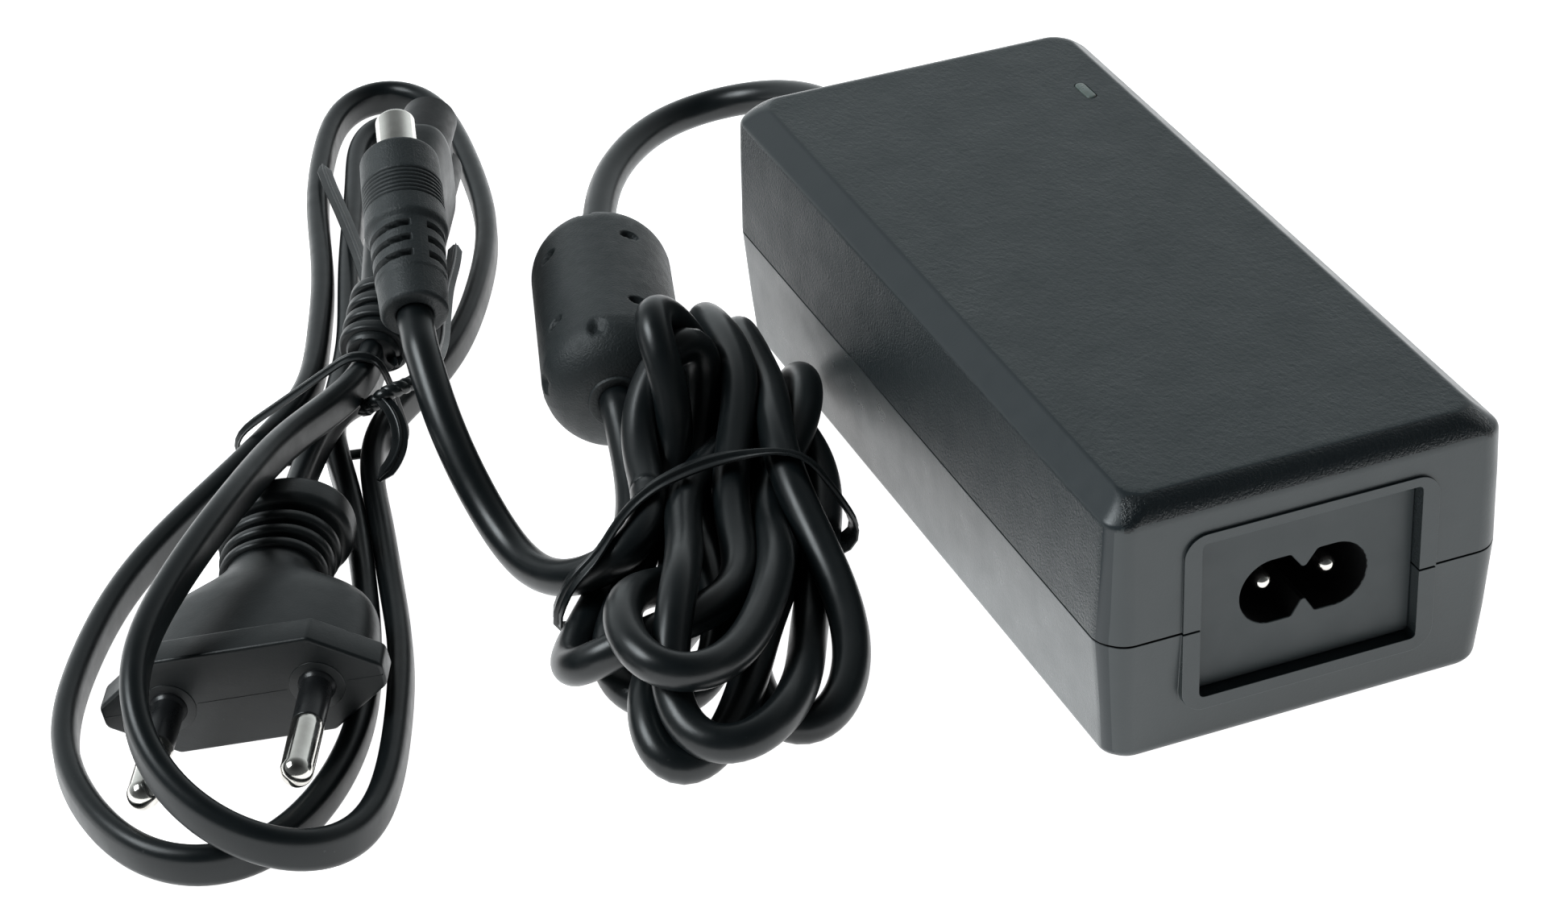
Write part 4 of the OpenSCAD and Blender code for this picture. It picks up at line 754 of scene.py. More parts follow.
parts += twisted([(-85.6, 44.6, 10.2), (-84.4, 43.3, 11.6), (-82.6, 42.8, 12.9), (-80.3, 43.3, 13.0), (-78.2, 45.0, 12.3), (-77.0, 46.8, 11.2)], 0.75, 2.6, 0.72)
parts.append(tail_strap([(-83.9, 43.4, 12.3), (-83.2, 40.6, 12.0), (-83.0, 37.9, 10.9), (-83.7, 35.1, 9.6), (-85.6, 32.4, 8.6), (-88.2, 30.6, 7.6)], 2.1, 0.42))
parts.append(tail_strap([(-79.0, 50.0, 12.0), (-78.2, 56.0, 11.6), (-76.8, 63.0, 10.3), (-75.6, 69.6, 8.9), (-73.9, 80.0, 7.2), (-72.0, 92.0, 6.4), (-70.6, 104.0, 6.3), (-69.6, 114.0, 6.2), (-68.7, 121.0, 6.1)], 2.1, 0.42))
parts.append(tail_strap([(-76.4, 47.2, 11.6), (-73.6, 51.0, 11.0), (-70.4, 58.0, 9.4), (-67.2, 67.0, 8.0), (-64.0, 75.5, 7.2), (-60.6, 83.0, 6.7), (-58.6, 88.0, 6.5)], 2.1, 0.42))

V, F = merge(parts)
mtie = make("mains_twist_tie", V, F, M["tie"], sharp=50)
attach(mtie, "mains_lead")
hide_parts("mains_tie")

# ------------------------------------------------------- turned and moulded parts
def lathe(profile, n, mat, name, place, displace=None, caps=(False, False), seed=0, sharp=None):
    """profile: list of (z, r), dense; displace(z, phi, r) -> r"""
    prof = np.array(profile, float)
    ph = np.arange(n) * 2 * np.pi / n
    R = []
    for z, r in prof:
        rr = np.full(n, r) if displace is None else displace(z, ph, np.full(n, r))
        R.append(np.stack([rr * np.cos(ph), rr * np.sin(ph), np.full(n, z)], 1))
    R = np.array(R)
    V = place(R.reshape(-1, 3))
    return make(name, V, ring_faces(len(prof), n, caps[0], caps[1]), mat, sharp=sharp)


def closed_lathe(profile, n, mat, name, place, displace=None, sharp=None):
    """profile closed on itself: a ring-shaped solid"""
    prof = np.array(profile, float)
    ph = np.arange(n) * 2 * np.pi / n
    R = []
    for z, r in prof:
        rr = np.full(n, r) if displace is None else displace(z, ph, np.full(n, r))
        R.append(np.stack([rr * np.cos(ph), rr * np.sin(ph), np.full(n, z)], 1))
    k = len(prof)
    F = ring_faces(k, n, False, False)
    for j in range(n):
        F.append(((k - 1) * n + j, (k - 1) * n + (j + 1) % n, (j + 1) % n, j))
    return make(name, place(np.array(R).reshape(-1, 3)), F, mat, sharp=sharp)


def dense(poly, step):
    """polyline [(z, r)] resampled to about step, corners kept"""
    out = [poly[0]]
    for a, b in zip(poly[:-1], poly[1:]):
        L = math.hypot(b[0] - a[0], b[1] - a[1])
        n = max(1, int(round(L / step)))
        for k in range(1, n + 1):
            out.append((a[0] + (b[0] - a[0]) * k / n, a[1] + (b[1] - a[1]) * k / n))
    return out


def arc_pts(cz, cr, rad, a0, a1, n):
    return [(cz + rad * math.cos(math.radians(a0 + (a1 - a0) * i / n)), cr + rad * math.sin(math.radians(a0 + (a1 - a0) * i / n))) for i in range(n + 1)]


# ferrite cover
fa = unit(NEAR - FAR)
f_mid = (NEAR + FAR) / 2
fang = math.degrees(math.atan2(fa[1], fa[0]))
FB = Rz(fang) @ Ry(90)
fer = basis(f_mid, FB[:, 0], FB[:, 1], FB[:, 2])
R0, H = 9.8, 20.0
e = 6.6
prof = [(-H + 3.0, 2.5), (-H + 0.25, 2.5), (-H, 2.75)]
prof += dense([(-H, 2.75), (-H, R0 - e)], 0.5)[1:]
prof += arc_pts(-H + e, R0 - e, e, 180, 90, 16)[1:]
prof += dense([(-H + e, R0), (H - e, R0)], 0.28)[1:]
prof += arc_pts(H - e, R0 - e, e, 90, 0, 16)[1:]
prof += [(H, 3.0), (H, 2.75), (H - 0.25, 2.52), (H - 3.0, 2.5)]
dimples = []
for k in range(10):
    ph_k = math.radians(155 + 36.6 * k if k < 3 else 155 + 73.2 + (k - 2) * (360 - 73.2) / 8)
    z_k = 9.0 if k % 2 == 0 else 15.4
    dimples += [(ph_k, z_k), (ph_k, -z_k - (0.3 if k % 2 == 0 else 0.9))]


def fer_disp(z, ph, r):
    if r[0] < 5:
        return r
    for pk, zk in dimples:
        du = ((ph - pk + np.pi) % (2 * np.pi) - np.pi) * 9.8
        q = np.sqrt((du / 1.25) ** 2 + ((z - zk) / 0.85) ** 2)
        r = r - 0.95 * np.clip((1.12 - q) / 0.28, 0, 1) ** 1.0
    # parting line of the cover near the coil end, and the faint seam along it
    r = r - 0.10 * np.exp(-((z - (H - 5.2)) / 0.16) ** 2)
    d2 = np.minimum(np.abs((ph - math.radians(102) + np.pi) % (2 * np.pi) - np.pi), np.abs((ph - math.radians(282) + np.pi) % (2 * np.pi) - np.pi)) * 9.8
    r = r + 0.05 * np.exp(-(d2 / 0.16) ** 2)
    return r


ferrite = closed_lathe(prof, 260, M["moulded"], "ferrite_cover_skin", fer, fer_disp)
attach(ferrite, "output_lead")
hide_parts("ferrite_cover")
# collar where the cord leaves the cover
boss = closed_lathe([(H - 0.6, 2.43), (H - 0.6, 3.9), (H + 0.05, 3.9), (H + 0.3, 3.7), (H + 0.3, 2.7), (H + 0.1, 2.45)], 72, M["moulded"], "ferrite_collar", fer, None, 40)
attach(boss, "output_lead")

# barrel plug
pl = basis(plug_at, at_plug_B[:, 0], at_plug_B[:, 1], at_plug_B[:, 2])
PH0 = math.radians(201)  # parting plane
prof = [(1.1, 2.43), (0.45, 2.45), (0.25, 2.65)]
prof += dense([(0.25, 2.65), (0.25, 4.0)], 0.3)[1:] + [(0.4, 4.3), (0.75, 4.55)]
prof += dense([(0.75, 4.55), (5.4, 4.75)], 0.22)[1:] + [(5.65, 4.85)]
prof += dense([(5.65, 4.85), (13.9, 5.1)], 0.10)[1:] + [(14.15, 5.22), (14.45, 5.5), (14.75, 5.66), (15.05, 5.7)]
prof += dense([(15.05, 5.7), (16.7, 5.6), (17.8, 5.55)], 0.3)[1:]
for k in range(7):
    z0 = 17.9 + k * 0.7
    prof += [(z0, 5.55), (z0 + 0.09, 5.5), (z0 + 0.17, 5.25), (z0 + 0.3, 5.25), (z0 + 0.39, 5.48), (z0 + 0.5, 5.55)]
prof += dense([(23.0, 5.55), (27.4, 5.45)], 0.4) + arc_pts(27.5, 4.45, 1.0, 90, 8, 8)[1:]
prof += [(28.5, 4.2), (28.53, 3.5), (28.48, 3.1), (28.28, 2.85), (27.4, 2.8)]


def plug_disp(z, ph, r):
    if r[0] < 3:
        return r
    d = np.abs((ph - PH0 + np.pi / 2) % np.pi - np.pi / 2)  # angle from the parting plane
    if 6.0 < z < 13.9:
        cut = 0.0
        for zs in (7.45, 10.1, 12.7):
            # each slot slants a little away from the parting plane
            zz = z - zs + 0.25 * np.clip(d, 0, 1.2)
            a = np.clip((0.56 - np.abs(zz)) / 0.10, 0, 1)
            cut = cut + a
        side = np.clip((d - math.radians(13.5)) / math.radians(1.6), 0, 1)
        r = r - 1.5 * np.clip(cut, 0, 1) * side
    r = r + 0.035 * np.exp(-(d * 5.5 / 0.10) ** 2)  # parting line
    return r


pbody = closed_lathe(prof, 300, M["moulded"], "barrel_plug_skin", pl, plug_disp)
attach(pbody, "output_plug")
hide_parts("barrel_plug_body")
barrel = closed_lathe([(13.8, 2.75), (35.6, 2.75), (35.85, 2.7), (35.97, 2.6), (36.0, 2.5), (35.95, 2.42), (35.7, 2.4), (13.8, 2.4)], 96, M["nickel"], "plug_barrel", pl, None, 40)
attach(barrel, "output_plug")
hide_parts("barrel_plug_sleeve")
ins = closed_lathe([(13.9, 2.38), (35.9, 2.38), (36.25, 2.36), (36.42, 2.25), (36.45, 2.1), (36.4, 1.75), (36.2, 1.6), (35.8, 1.56), (16.2, 1.56), (16.0, 0.4), (13.9, 0.4)], 72, M["sleeve"], "plug_tip_ring", pl, None, 40)
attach(ins, "output_plug")
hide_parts("barrel_plug_insulator")

# cord boot on the brick
bt = basis([0, 54.4, 17.7], np.array([1.0, 0, 0]), np.array([0, 0, -1.0]), np.array([0, 1.0, 0]))
prof = [(0, 2.44), (0, 6.0), (0.2, 6.2), (1.2, 6.2), (1.4, 6.0), (1.4, 4.5), (3.7, 4.5)]
prof += [(3.8, 5.1), (3.95, 5.35), (4.2, 5.4), (5.0, 5.4), (5.25, 5.3), (5.4, 5.0), (5.45, 4.2)]
for k in range(3):
    z0, r0 = 6.5 + k * 2.35, 4.4 - k * 0.45
    prof += [(z0 - 0.12, 4.05 - k * 0.45), (z0 + 0.05, r0 - 0.12), (z0 + 0.2, r0), (z0 + 0.95, r0 - 0.05), (z0 + 1.1, r0 - 0.18), (z0 + 1.22, 3.85 - k * 0.45)]
prof += [(13.0, 2.95), (13.6, 2.8), (13.8, 2.7), (13.8, 2.5), (13.5, 2.44)]
boot = closed_lathe(prof, 96, M["moulded"], "cord_boot_skin", bt, None, 50)
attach(boot, "adapter")
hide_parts("cord_boot")


# --------------------------------------------------------- flat two-pin plug
def superell(w, t, p, n):
    a = np.arange(n) * 2 * np.pi / n
    c, s = np.cos(a), np.sin(a)
    return np.stack([np.sign(c) * np.abs(c) ** (2 / p) * w / 2, np.sign(s) * np.abs(s) ** (2 / p) * t / 2], 1)


def loft(stations, n, place, sub=4):
    """stations (x, w, t, p, [dz]); smooth curve through them"""
    st = np.array([list(s) + [0] * (5 - len(s)) for s in stations], float)
    xs = []
    for a, b in zip(st[:-1], st[1:]):
        for k in range(sub):
            xs.append(a + (b - a) * (k / sub))
    xs.append(st[-1])
    # monotone smoothing of the width and thickness between stations
    X = np.array(xs)
    for _ in range(2):
        X[1:-1, 1:] = (X[:-2, 1:] + 2 * X[1:-1, 1:] + X[2:, 1:]) / 4
    R = []
    for x, w, t, p, dz in X:
        S = superell(w, t, p, n)
        R.append(np.stack([np.full(n, x), S[:, 0], S[:, 1] + dz], 1))
    R = np.array(R)
    return place(R.reshape(-1, 3)), ring_faces(len(R), n)


def disc_ring(x0, x1, w, t, p, rnd, n, place):
    """oval disc with rounded rims"""
    R = []
    for k in range(7):
        a = math.radians(90 * k / 6)
        d = rnd * (1 - math.sin(a))
        R.append((x0 + rnd * (1 - math.cos(a)), d))
    for k in range(6, -1, -1):
        a = math.radians(90 * k / 6)
        d = rnd * (1 - math.sin(a))
        R.append((x1 - rnd * (1 - math.cos(a)), d))
    rows = []
    for x, d in R:
        S = superell(w - 2 * d, t - 2 * d, p, n)
        rows.append(np.stack([np.full(n, x), S[:, 0], S[:, 1]], 1))
    rows = np.array(rows)
    return place(rows.reshape(-1, 3)), ring_faces(len(rows), n)


EB = Rz(-114.7) @ Rx(10)
eu = basis([-118, -10, 8.6], EB[:, 0], EB[:, 1], EB[:, 2])
body = loft([(-40, 9.0, 8.2, 2.2), (-39, 10.4, 9.0, 2.2), (-37, 11.4, 9.6, 2.2), (-30, 11.6, 9.8, 2.2), (-24.5, 11.9, 10.2, 2.2), (-22.8, 12.6, 10.5, 2.2), (-21.2, 14.4, 10.9, 2.25),
             (-19.6, 17.8, 11.4, 2.3), (-18, 22, 11.9, 2.4), (-16.4, 26, 12.3, 2.45), (-14.8, 28.8, 12.6, 2.5), (-13, 30.4, 12.8, 2.5), (-10, 31.4, 13.0, 2.5), (-7, 31.9, 13.1, 2.5), (-4.2, 32.1, 13.1, 2.5)], 72, eu, 3)
eparts = [body]
eparts.append(disc_ring(-38.6, -33.4, 17.8, 14.0, 2.15, 1.3, 72, eu))
eparts.append(disc_ring(-31.9, -30.1, 15.6, 12.6, 2.15, 0.7, 72, eu))
eparts.append(disc_ring(-29.1, -27.4, 14.8, 12.0, 2.15, 0.65, 72, eu))
eparts.append(disc_ring(-26.4, -24.8, 14.0, 11.5, 2.15, 0.6, 72, eu))
V, F = merge(eparts)
ebody = make("two_pin_plug_body", V, F, M["plug"], sharp=60)
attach(ebody, "mains_lead")
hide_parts("mains_plug_body")


def rounded_poly(pts, r, n=4):
    """corner-rounded polygon"""
    pts = [np.array(p, float) for p in pts]
    out = []
    k = len(pts)
    for i in range(k):
        p, a, b = pts[i], pts[i - 1], pts[(i + 1) % k]
        da, db = unit(a - p), unit(b - p)
        ang = math.acos(max(-1, min(1, float(da @ db))))
        t = min(r / math.tan(ang / 2), 0.45 * np.linalg.norm(a - p), 0.45 * np.linalg.norm(b - p))
        A_, B_ = p + da * t, p + db * t
        for j in range(n + 1):
            u = j / n
            out.append((1 - u) ** 2 * A_ + 2 * u * (1 - u) * p + u * u * B_)
    return np.array(out)


def plate(outline, x0, x1, rnd, place, k=4):
    """outline in (y, z), extruded along x with rounded rims"""
    O = np.asarray(outline)
    c = O.mean(0)
    nx = unit(np.stack([np.roll(O, -1, 0)[:, 1] - np.roll(O, 1, 0)[:, 1], -(np.roll(O, -1, 0)[:, 0] - np.roll(O, 1, 0)[:, 0])], 1))
    if ((O - c) * nx).sum() < 0:
        nx = -nx
    rows = []
    for i in range(k + 1):
        a = math.radians(90 * i / k)
        rows.append((x0 + rnd * (1 - math.cos(a)), rnd * (1 - math.sin(a))))
    rows += [(x0 + x1 - x, d) for x, d in rows[::-1]]
    R = []
    for x, d in rows:
        q = O - nx * d
        R.append(np.stack([np.full(len(O), x), q[:, 0], q[:, 1]], 1))
    return place(np.array(R).reshape(-1, 3)), ring_faces(len(R), len(O))


hexo = rounded_poly([(-17.65, -1.5), (-9.8, -6.85), (9.8, -6.85), (17.65, -1.5), (17.65, 1.5), (9.8, 6.85), (-9.8, 6.85), (-17.65, 1.5)], 1.2, 5)
V, F = merge([plate(hexo, -4.6, 0, 0.45, eu),
              # low pads round the pins and a fine moulding line across the face
              plate(np.array([(math.cos(a) * 3.4 + 9.3, math.sin(a) * 3.4) for a in np.linspace(0, 2 * np.pi, 48, endpoint=False)]), -0.5, 0.12, 0.1, eu, 2),
              plate(np.array([(math.cos(a) * 3.4 - 9.3, math.sin(a) * 3.4) for a in np.linspace(0, 2 * np.pi, 48, endpoint=False)]), -0.5, 0.12, 0.1, eu, 2),
              plate(np.array([(-5.6, -0.05), (5.6, -0.05), (5.6, 0.05), (-5.6, 0.05)]), -0.3, 0.05, 0.02, eu, 2),
              plate(np.array([(13.1, -0.05), (17.5, -0.05), (17.5, 0.05), (13.1, 0.05)]), -0.3, 0.05, 0.02, eu, 2),
              plate(np.array([(-17.5, -0.05), (-13.1, -0.05), (-13.1, 0.05), (-17.5, 0.05)]), -0.3, 0.05, 0.02, eu, 2)])
eflange = make("two_pin_plug_face", V, F, M["plug"], sharp=50)
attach(eflange, "mains_lead")

pin_parts, slv_parts = [], []
for s in (-1, 1):
    pb = basis(eu([0, s * 9.3, 0]), EB[:, 1], EB[:, 2], EB[:, 0])
    n = 64
    ph = np.arange(n) * 2 * np.pi / n
    prf = [(-9, 1.7), (8.1, 1.7), (8.25, 1.96), (8.4, 2.0)] + dense([(8.4, 2.0), (17.0, 2.0)], 1.0)[1:] + [(17.0 + 2.0 * math.sin(math.radians(a)), 2.0 * math.cos(math.radians(a)) + 0.02) for a in range(8, 90, 8)] + [(19.0, 0.12)]
    R = np.array([np.stack([r * np.cos(ph), r * np.sin(ph), np.full(n, z)], 1) for z, r in prf])
    pin_parts.append((pb(R.reshape(-1, 3)), ring_faces(len(prf), n)))
    prf = [(-0.9, 1.95), (0.0, 2.35), (0.5, 2.25), (0.75, 2.02), (1.0, 1.98), (7.9, 1.96), (8.1, 1.93), (8.2, 1.86), (8.22, 1.74), (-0.9, 1.74)]
    R = np.array([np.stack([r * np.cos(ph), r * np.sin(ph), np.full(n, z)], 1) for z, r in prf])
    F = ring_faces(len(prf), n, False, False)
    k = len(prf)
    for j in range(n):
        F.append(((k - 1) * n + j, (k - 1) * n + (j + 1) % n, (j + 1) % n, j))
    slv_parts.append((pb(R.reshape(-1, 3)), F))
V, F = merge(pin_parts)
pins = make("two_pin_plug_pins", V, F, M["nickel"], sharp=40)
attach(pins, "mains_lead")
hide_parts("mains_plug_pins")
V, F = merge(slv_parts)
slv = make("pin_insulating_sleeves", V, F, M["sleeve"], sharp=40)
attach(slv, "mains_lead")
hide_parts("mains_pin_sleeves")

# ------------------------------------------------------ figure-eight connector
c_tail, c_face = np.array([-81.6, 53.2, 12.6]), np.array([-57.4, 99.3, 17.6])
cd = c_face - c_tail
CL = float(np.linalg.norm(cd))
CB = Rz(math.degrees(math.atan2(cd[1], cd[0]))) @ Ry(-math.degrees(math.asin(cd[2] / CL))) @ Rx(90)
c7 = basis(c_face, CB[:, 0], CB[:, 1], CB[:, 2])
cbody = loft([(-CL + 0.3, 5.8, 6.6, 2.2), (-CL + 1.0, 6.6, 7.4, 2.2), (-40, 7.0, 7.8, 2.2), (-37, 8.0, 8.2, 2.3), (-34.5, 10.6, 8.8, 2.4), (-32, 13.8, 9.2, 2.6), (-29.5, 16.2, 9.4, 2.8),
              (-27, 17.2, 9.4, 3.0), (-22, 17.8, 9.3, 3.0), (-14, 17.9, 9.2, 3.0), (-9, 17.9, 9.1, 3.0), (-8.2, 17.5, 8.9, 3.0), (-8.0, 17.0, 8.4, 3.0)], 72, c7, 3)
cparts = [cbody]
for k in range(4):
    x = -CL + 1.4 + k * 3.3
    cparts.append(disc_ring(x, x + 2.1, 8.0 + 0.2 * k, 9.6 + 0.2 * k, 2.2, 0.6, 64, c7))
V, F = merge(cparts)
cobj = make("figure8_connector_body", V, F, M["plug"], sharp=60)
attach(cobj, "mains_lead")
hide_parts("mains_connector_body")


# ------------------------------------------------------------------- the brick
HW, HL, SEAM, TOP = 26.8, 58.1, 17.7, 36.8


def plan_loop(dx, dy, k=6):
    """rectangle with the four upright corners cut, the cut edges softened"""
    X, Y = HW - dx, HL - dy
    c = max(X + Y - (HW + HL - 2.5), 2.0)
    pts = [(X - c, -Y), (X, -Y + c), (X, Y - c), (X - c, Y), (-X + c, Y), (-X, Y - c), (-X, -Y + c), (-X + c, -Y)]
    return rounded_poly(pts, 3.6, k)


def loft_levels(levels):
    """levels: (z, dx, dy) from the bottom up"""
    R = []
    for z, dx, dy in levels:
        q = plan_loop(dx, dy)
        R.append(np.stack([q[:, 0], q[:, 1], np.full(len(q), z)], 1))
    R = np.array(R)
    return R.reshape(-1, 3), ring_faces(len(R), R.shape[1])


def quad_round(p, a, b, t, n):
    p, a, b = (np.array(v, float) for v in (p, a, b))
    A_, B_ = p + unit(a - p) * t, p + unit(b - p) * t
    return [tuple((1 - u) ** 2 * A_ + 2 * u * (1 - u) * p + u * u * B_) for u in np.linspace(0, 1, n)]


edge = [(0.637, 33.3)] + quad_round((0.67, 34.1), (0.637, 33.3), (3.87, 36.8), 0.5, 7) + quad_round((3.87, 36.8), (0.67, 34.1), (6, 36.8), 0.45, 8)
ex, ez = np.array([p[0] for p in edge]), np.array([p[1] for p in edge])
upper_levels = [(SEAM + 0.12, 0.0, 0.0), (22.0, 0.18, 0.0), (28.0, 0.42, 0.0)]
zs = sorted(set([33.3 + 3.5 * math.sin(math.radians(a)) for a in range(0, 90, 4)] + [z for z in ez if z > 33.31 and z < 36.79]))
for z in zs:
    s_ = min(1.0, (z - 33.3) / 3.5)
    upper_levels.append((z, float(np.interp(z, ez, ex)), 3.5 * (1 - math.sqrt(max(0, 1 - s_ * s_)))))
upper_levels.append((TOP, 4.32, 3.75))
lower_levels = []
for a in range(0, 91, 9):
    z = 1.6 * (1 - math.cos(math.radians(a)))
    e_ = 1.6 * (1 - math.sin(math.radians(a)))
    lower_levels.append((z, 1.4 * (1 - z / SEAM) + e_, 1.4 * (1 - z / SEAM) + e_))
lower_levels += [(8.0, 1.4 * (1 - 8.0 / SEAM), 1.4 * (1 - 8.0 / SEAM)), (SEAM - 0.12, 1.4 * 0.12 / SEAM, 1.4 * 0.12 / SEAM)]


def box_vf(x0, x1, y0, y1, z0, z1):
    V = [(x, y, z) for x in (x0, x1) for y in (y0, y1) for z in (z0, z1)]
    return np.array(V, float), [(0, 1, 3, 2), (4, 6, 7, 5), (0, 4, 5, 1), (2, 3, 7, 6), (0, 2, 6, 4), (1, 5, 7, 3)]


def prism_y(outline, y0, y1):
    """outline in (x, z) extruded along y"""
    O = np.asarray(outline, float)
    R = np.array([np.stack([O[:, 0], np.full(len(O), y), O[:, 1]], 1) for y in (y0, y1)])
    return R.reshape(-1, 3), ring_faces(2, len(O))


def prism_z(outline, z0, z1):
    O = np.asarray(outline, float)
    R = np.array([np.stack([O[:, 0], O[:, 1], np.full(len(O), z)], 1) for z in (z0, z1)])
    return R.reshape(-1, 3), ring_faces(2, len(O))


def boolean(base, cutters, op="DIFFERENCE"):
    for i, c in enumerate(cutters):
        m = base.modifiers.new("b%d" % i, "BOOLEAN")
        m.operation = op if isinstance(op, str) else op[i]
        m.solver = "EXACT"
        m.object = c
    dg = bpy.context.evaluated_depsgraph_get()
    dg.update()
    me = bpy.data.meshes.new_from_object(base.evaluated_get(dg))
    base.modifiers.clear()
    old = base.data
    base.data = me
    bpy.data.meshes.remove(old)
    for c in cutters:
        bpy.data.objects.remove(c)
    return base


def finish_shell(o, mats, pick, bevel=0.15, angle=25, segments=3):
    me = o.data
    me.materials.clear()
    for k in mats:
        me.materials.append(M[k])
    for p in me.polygons:
        p.material_index = mats.index(pick(p.normal, Vector(p.center) * 1000))
    me.polygons.foreach_set("use_smooth", [True] * len(me.polygons))
    if bevel:
        b = o.modifiers.new("edge", "BEVEL")
        b.width = bevel * MM
        b.segments = segments
        b.limit_method = "ANGLE"
        b.angle_limit = math.radians(angle)
        b.harden_normals = False
        w = o.modifiers.new("normals", "WEIGHTED_NORMAL")
        w.keep_sharp = True
    return o


rounded_open = rounded_poly([(-14.6, 8.0), (14.6, 8.0), (14.6, 29.7), (-14.6, 29.7)], 0.8, 5)
cord_hole = [(4.6 * math.cos(a), SEAM + 4.6 * math.sin(a)) for a in np.linspace(0, 2 * np.pi, 64, endpoint=False)]


def half_frame(z0, z1, top):
    r = 3.0
    x = 16.9
    if top:
        pts = [(-x, z0), (x, z0)] + [(x - r + r * math.cos(a), z1 - r + r * math.sin(a)) for a in np.linspace(0, np.pi / 2, 9)]
        pts += [(-x + r + r * math.cos(a), z1 - r + r * math.sin(a)) for a in np.linspace(np.pi / 2, np.pi, 9)]
    else:
        pts = [(x, z1), (-x, z1)] + [(-x + r + r * math.cos(a), z0 + r + r * math.sin(a)) for a in np.linspace(np.pi, 1.5 * np.pi, 9)]
        pts += [(x - r + r * math.cos(a), z0 + r + r * math.sin(a)) for a in np.linspace(1.5 * np.pi, 2 * np.pi, 9)]
    return prism_y(pts, -HL - 0.4, -HL + 1.0)


# picks the brick's tones by face direction: the darker and lighter copies are painted shade and painted light
def shell_pick(low):
    def pick(n, c):
        # faces inside the shell take the painted recess shade
        if abs(c.x) < 24.05 and abs(c.y) < 55.95 and 2.1 < c.z < 34.5 and c.y > -55.95:
            return "inner_black"
        if n.z > 0.98 and c.z > 36:
            return "case_top"
        # long sides: the lower shell takes the lighter copy as painted floor reflection, the upper shell the darker
        # copy as painted shade
        if abs(n.x) > 0.95:
            return "case_side_low" if low else "case_side"
        if c.z > 33.5 and abs(n.y) > 0.25 and abs(n.y) < 0.97 and abs(n.x) < 0.45:
            return "case_fillet"
        if abs(n.y) > 0.7:
            return "case_end"
        if n.z < -0.98:
            return "case_side_low"
        return "case_smooth"
    return pick


shell_mats = ["case_top", "case_side", "case_side_low", "case_smooth", "case_end", "inner_black", "case_fillet"]
up = make("brick_upper_shell", *loft_levels(upper_levels), M["case_top"])
cut = [make("c0", *half_frame(SEAM + 0.12, 31.0, True), M["case_top"]),
       make("c1", *box_vf(-24, 24, -55.9, 55.9, 10, 34.4), M["case_top"]),
       make("c2", *prism_y(rounded_open, -62, -54), M["case_top"]),
       make("c3", *prism_z([(17.9 + 0.85 * math.cos(a), 38.4 + 0.85 * math.sin(a) + (1.6 if math.sin(a) >= 0 else -1.6)) for a in (np.arange(32) + 0.5) * np.pi / 16], 33, 39), M["case_top"]),
       make("c4", *prism_y(cord_hole, 54, 61), M["case_top"])]
up = boolean(up, cut, ["UNION", "DIFFERENCE", "DIFFERENCE", "DIFFERENCE", "DIFFERENCE"])
finish_shell(up, shell_mats, shell_pick(False))
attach(up, "adapter")
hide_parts("upper_case")

low = make("brick_lower_shell", *loft_levels(lower_levels), M["case_side_low"])
cut = [make("c0", *half_frame(6.2, SEAM - 0.12, False), M["case_top"]),
       make("c1", *box_vf(-24, 24, -55.9, 55.9, 2.2, 30), M["case_top"]),
       make("c2", *prism_y(rounded_open, -62, -54), M["case_top"]),
       make("c3", *box_vf(-20, 20, -44, 44, -1, 0.25), M["case_top"]),
       make("c4", *prism_y(cord_hole, 54, 61), M["case_top"])]
low = boolean(low, cut, ["UNION", "DIFFERENCE", "DIFFERENCE", "DIFFERENCE", "DIFFERENCE"])
finish_shell(low, shell_mats, shell_pick(True))
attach(low, "adapter")
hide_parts("lower_case")

# tongue of the lower shell, in the near-black recess colour: painted shade at the bottom of the seam
tongue = make("seam_tongue", *loft_levels([(16.4, 1.15, 1.15), (19.2, 1.15, 1.15)]), M["case_side_low"])
tongue = boolean(tongue, [make("c1", *box_vf(-24.2, 24.2, -56.1, 56.1, 10, 30), M["case_top"]), make("c2", *prism_y(rounded_open * [1.012, 1.0], -62, -54), M["case_top"]),
                          make("c3", *prism_y(cord_hole, 54, 61), M["case_top"])])
finish_shell(tongue, ["inner_black"], lambda n, c: "inner_black", 0)
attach(tongue, "adapter")

# inlet housing with its figure-eight cavity
PZ = 19.1
housing = make("inlet_face", *plate(rounded_poly([(-14.55, 8.05), (14.55, 8.05), (14.55, 29.65), (-14.55, 29.65)], 0.7, 5), 0, 12.6, 0.12,
                                   basis([0, -56.6, 0], np.array([0, 1.0, 0]), np.array([1.0, 0, 0]), np.array([0, 0, 1.0])), 3), M["inlet_face"])


def lobes(r, g=0.0):
    a1 = [(4.15 + (r + g) * math.cos(t), PZ + (r + g) * math.sin(t)) for t in np.linspace(-np.pi / 2, np.pi / 2, 33)]
    a2 = [(-4.15 + (r + g) * math.cos(t), PZ + (r + g) * math.sin(t)) for t in np.linspace(np.pi / 2, 1.5 * np.pi, 33)]
    h = r + g
    top = [(2.1, PZ + h), (1.75, PZ + h - 0.1), (0.35, PZ + h - 1.95), (0, PZ + h - 2.1), (-0.35, PZ + h - 1.95), (-1.75, PZ + h - 0.1), (-2.1, PZ + h)]
    bot = [(-1.9, PZ - h), (-1.55, PZ - h + 0.12), (-0.35, PZ - h + 2.02), (0, PZ - h + 2.15), (0.35, PZ - h + 2.02), (1.55, PZ - h + 0.12), (1.9, PZ - h)]
    return np.array(a1 + top + a2 + bot)


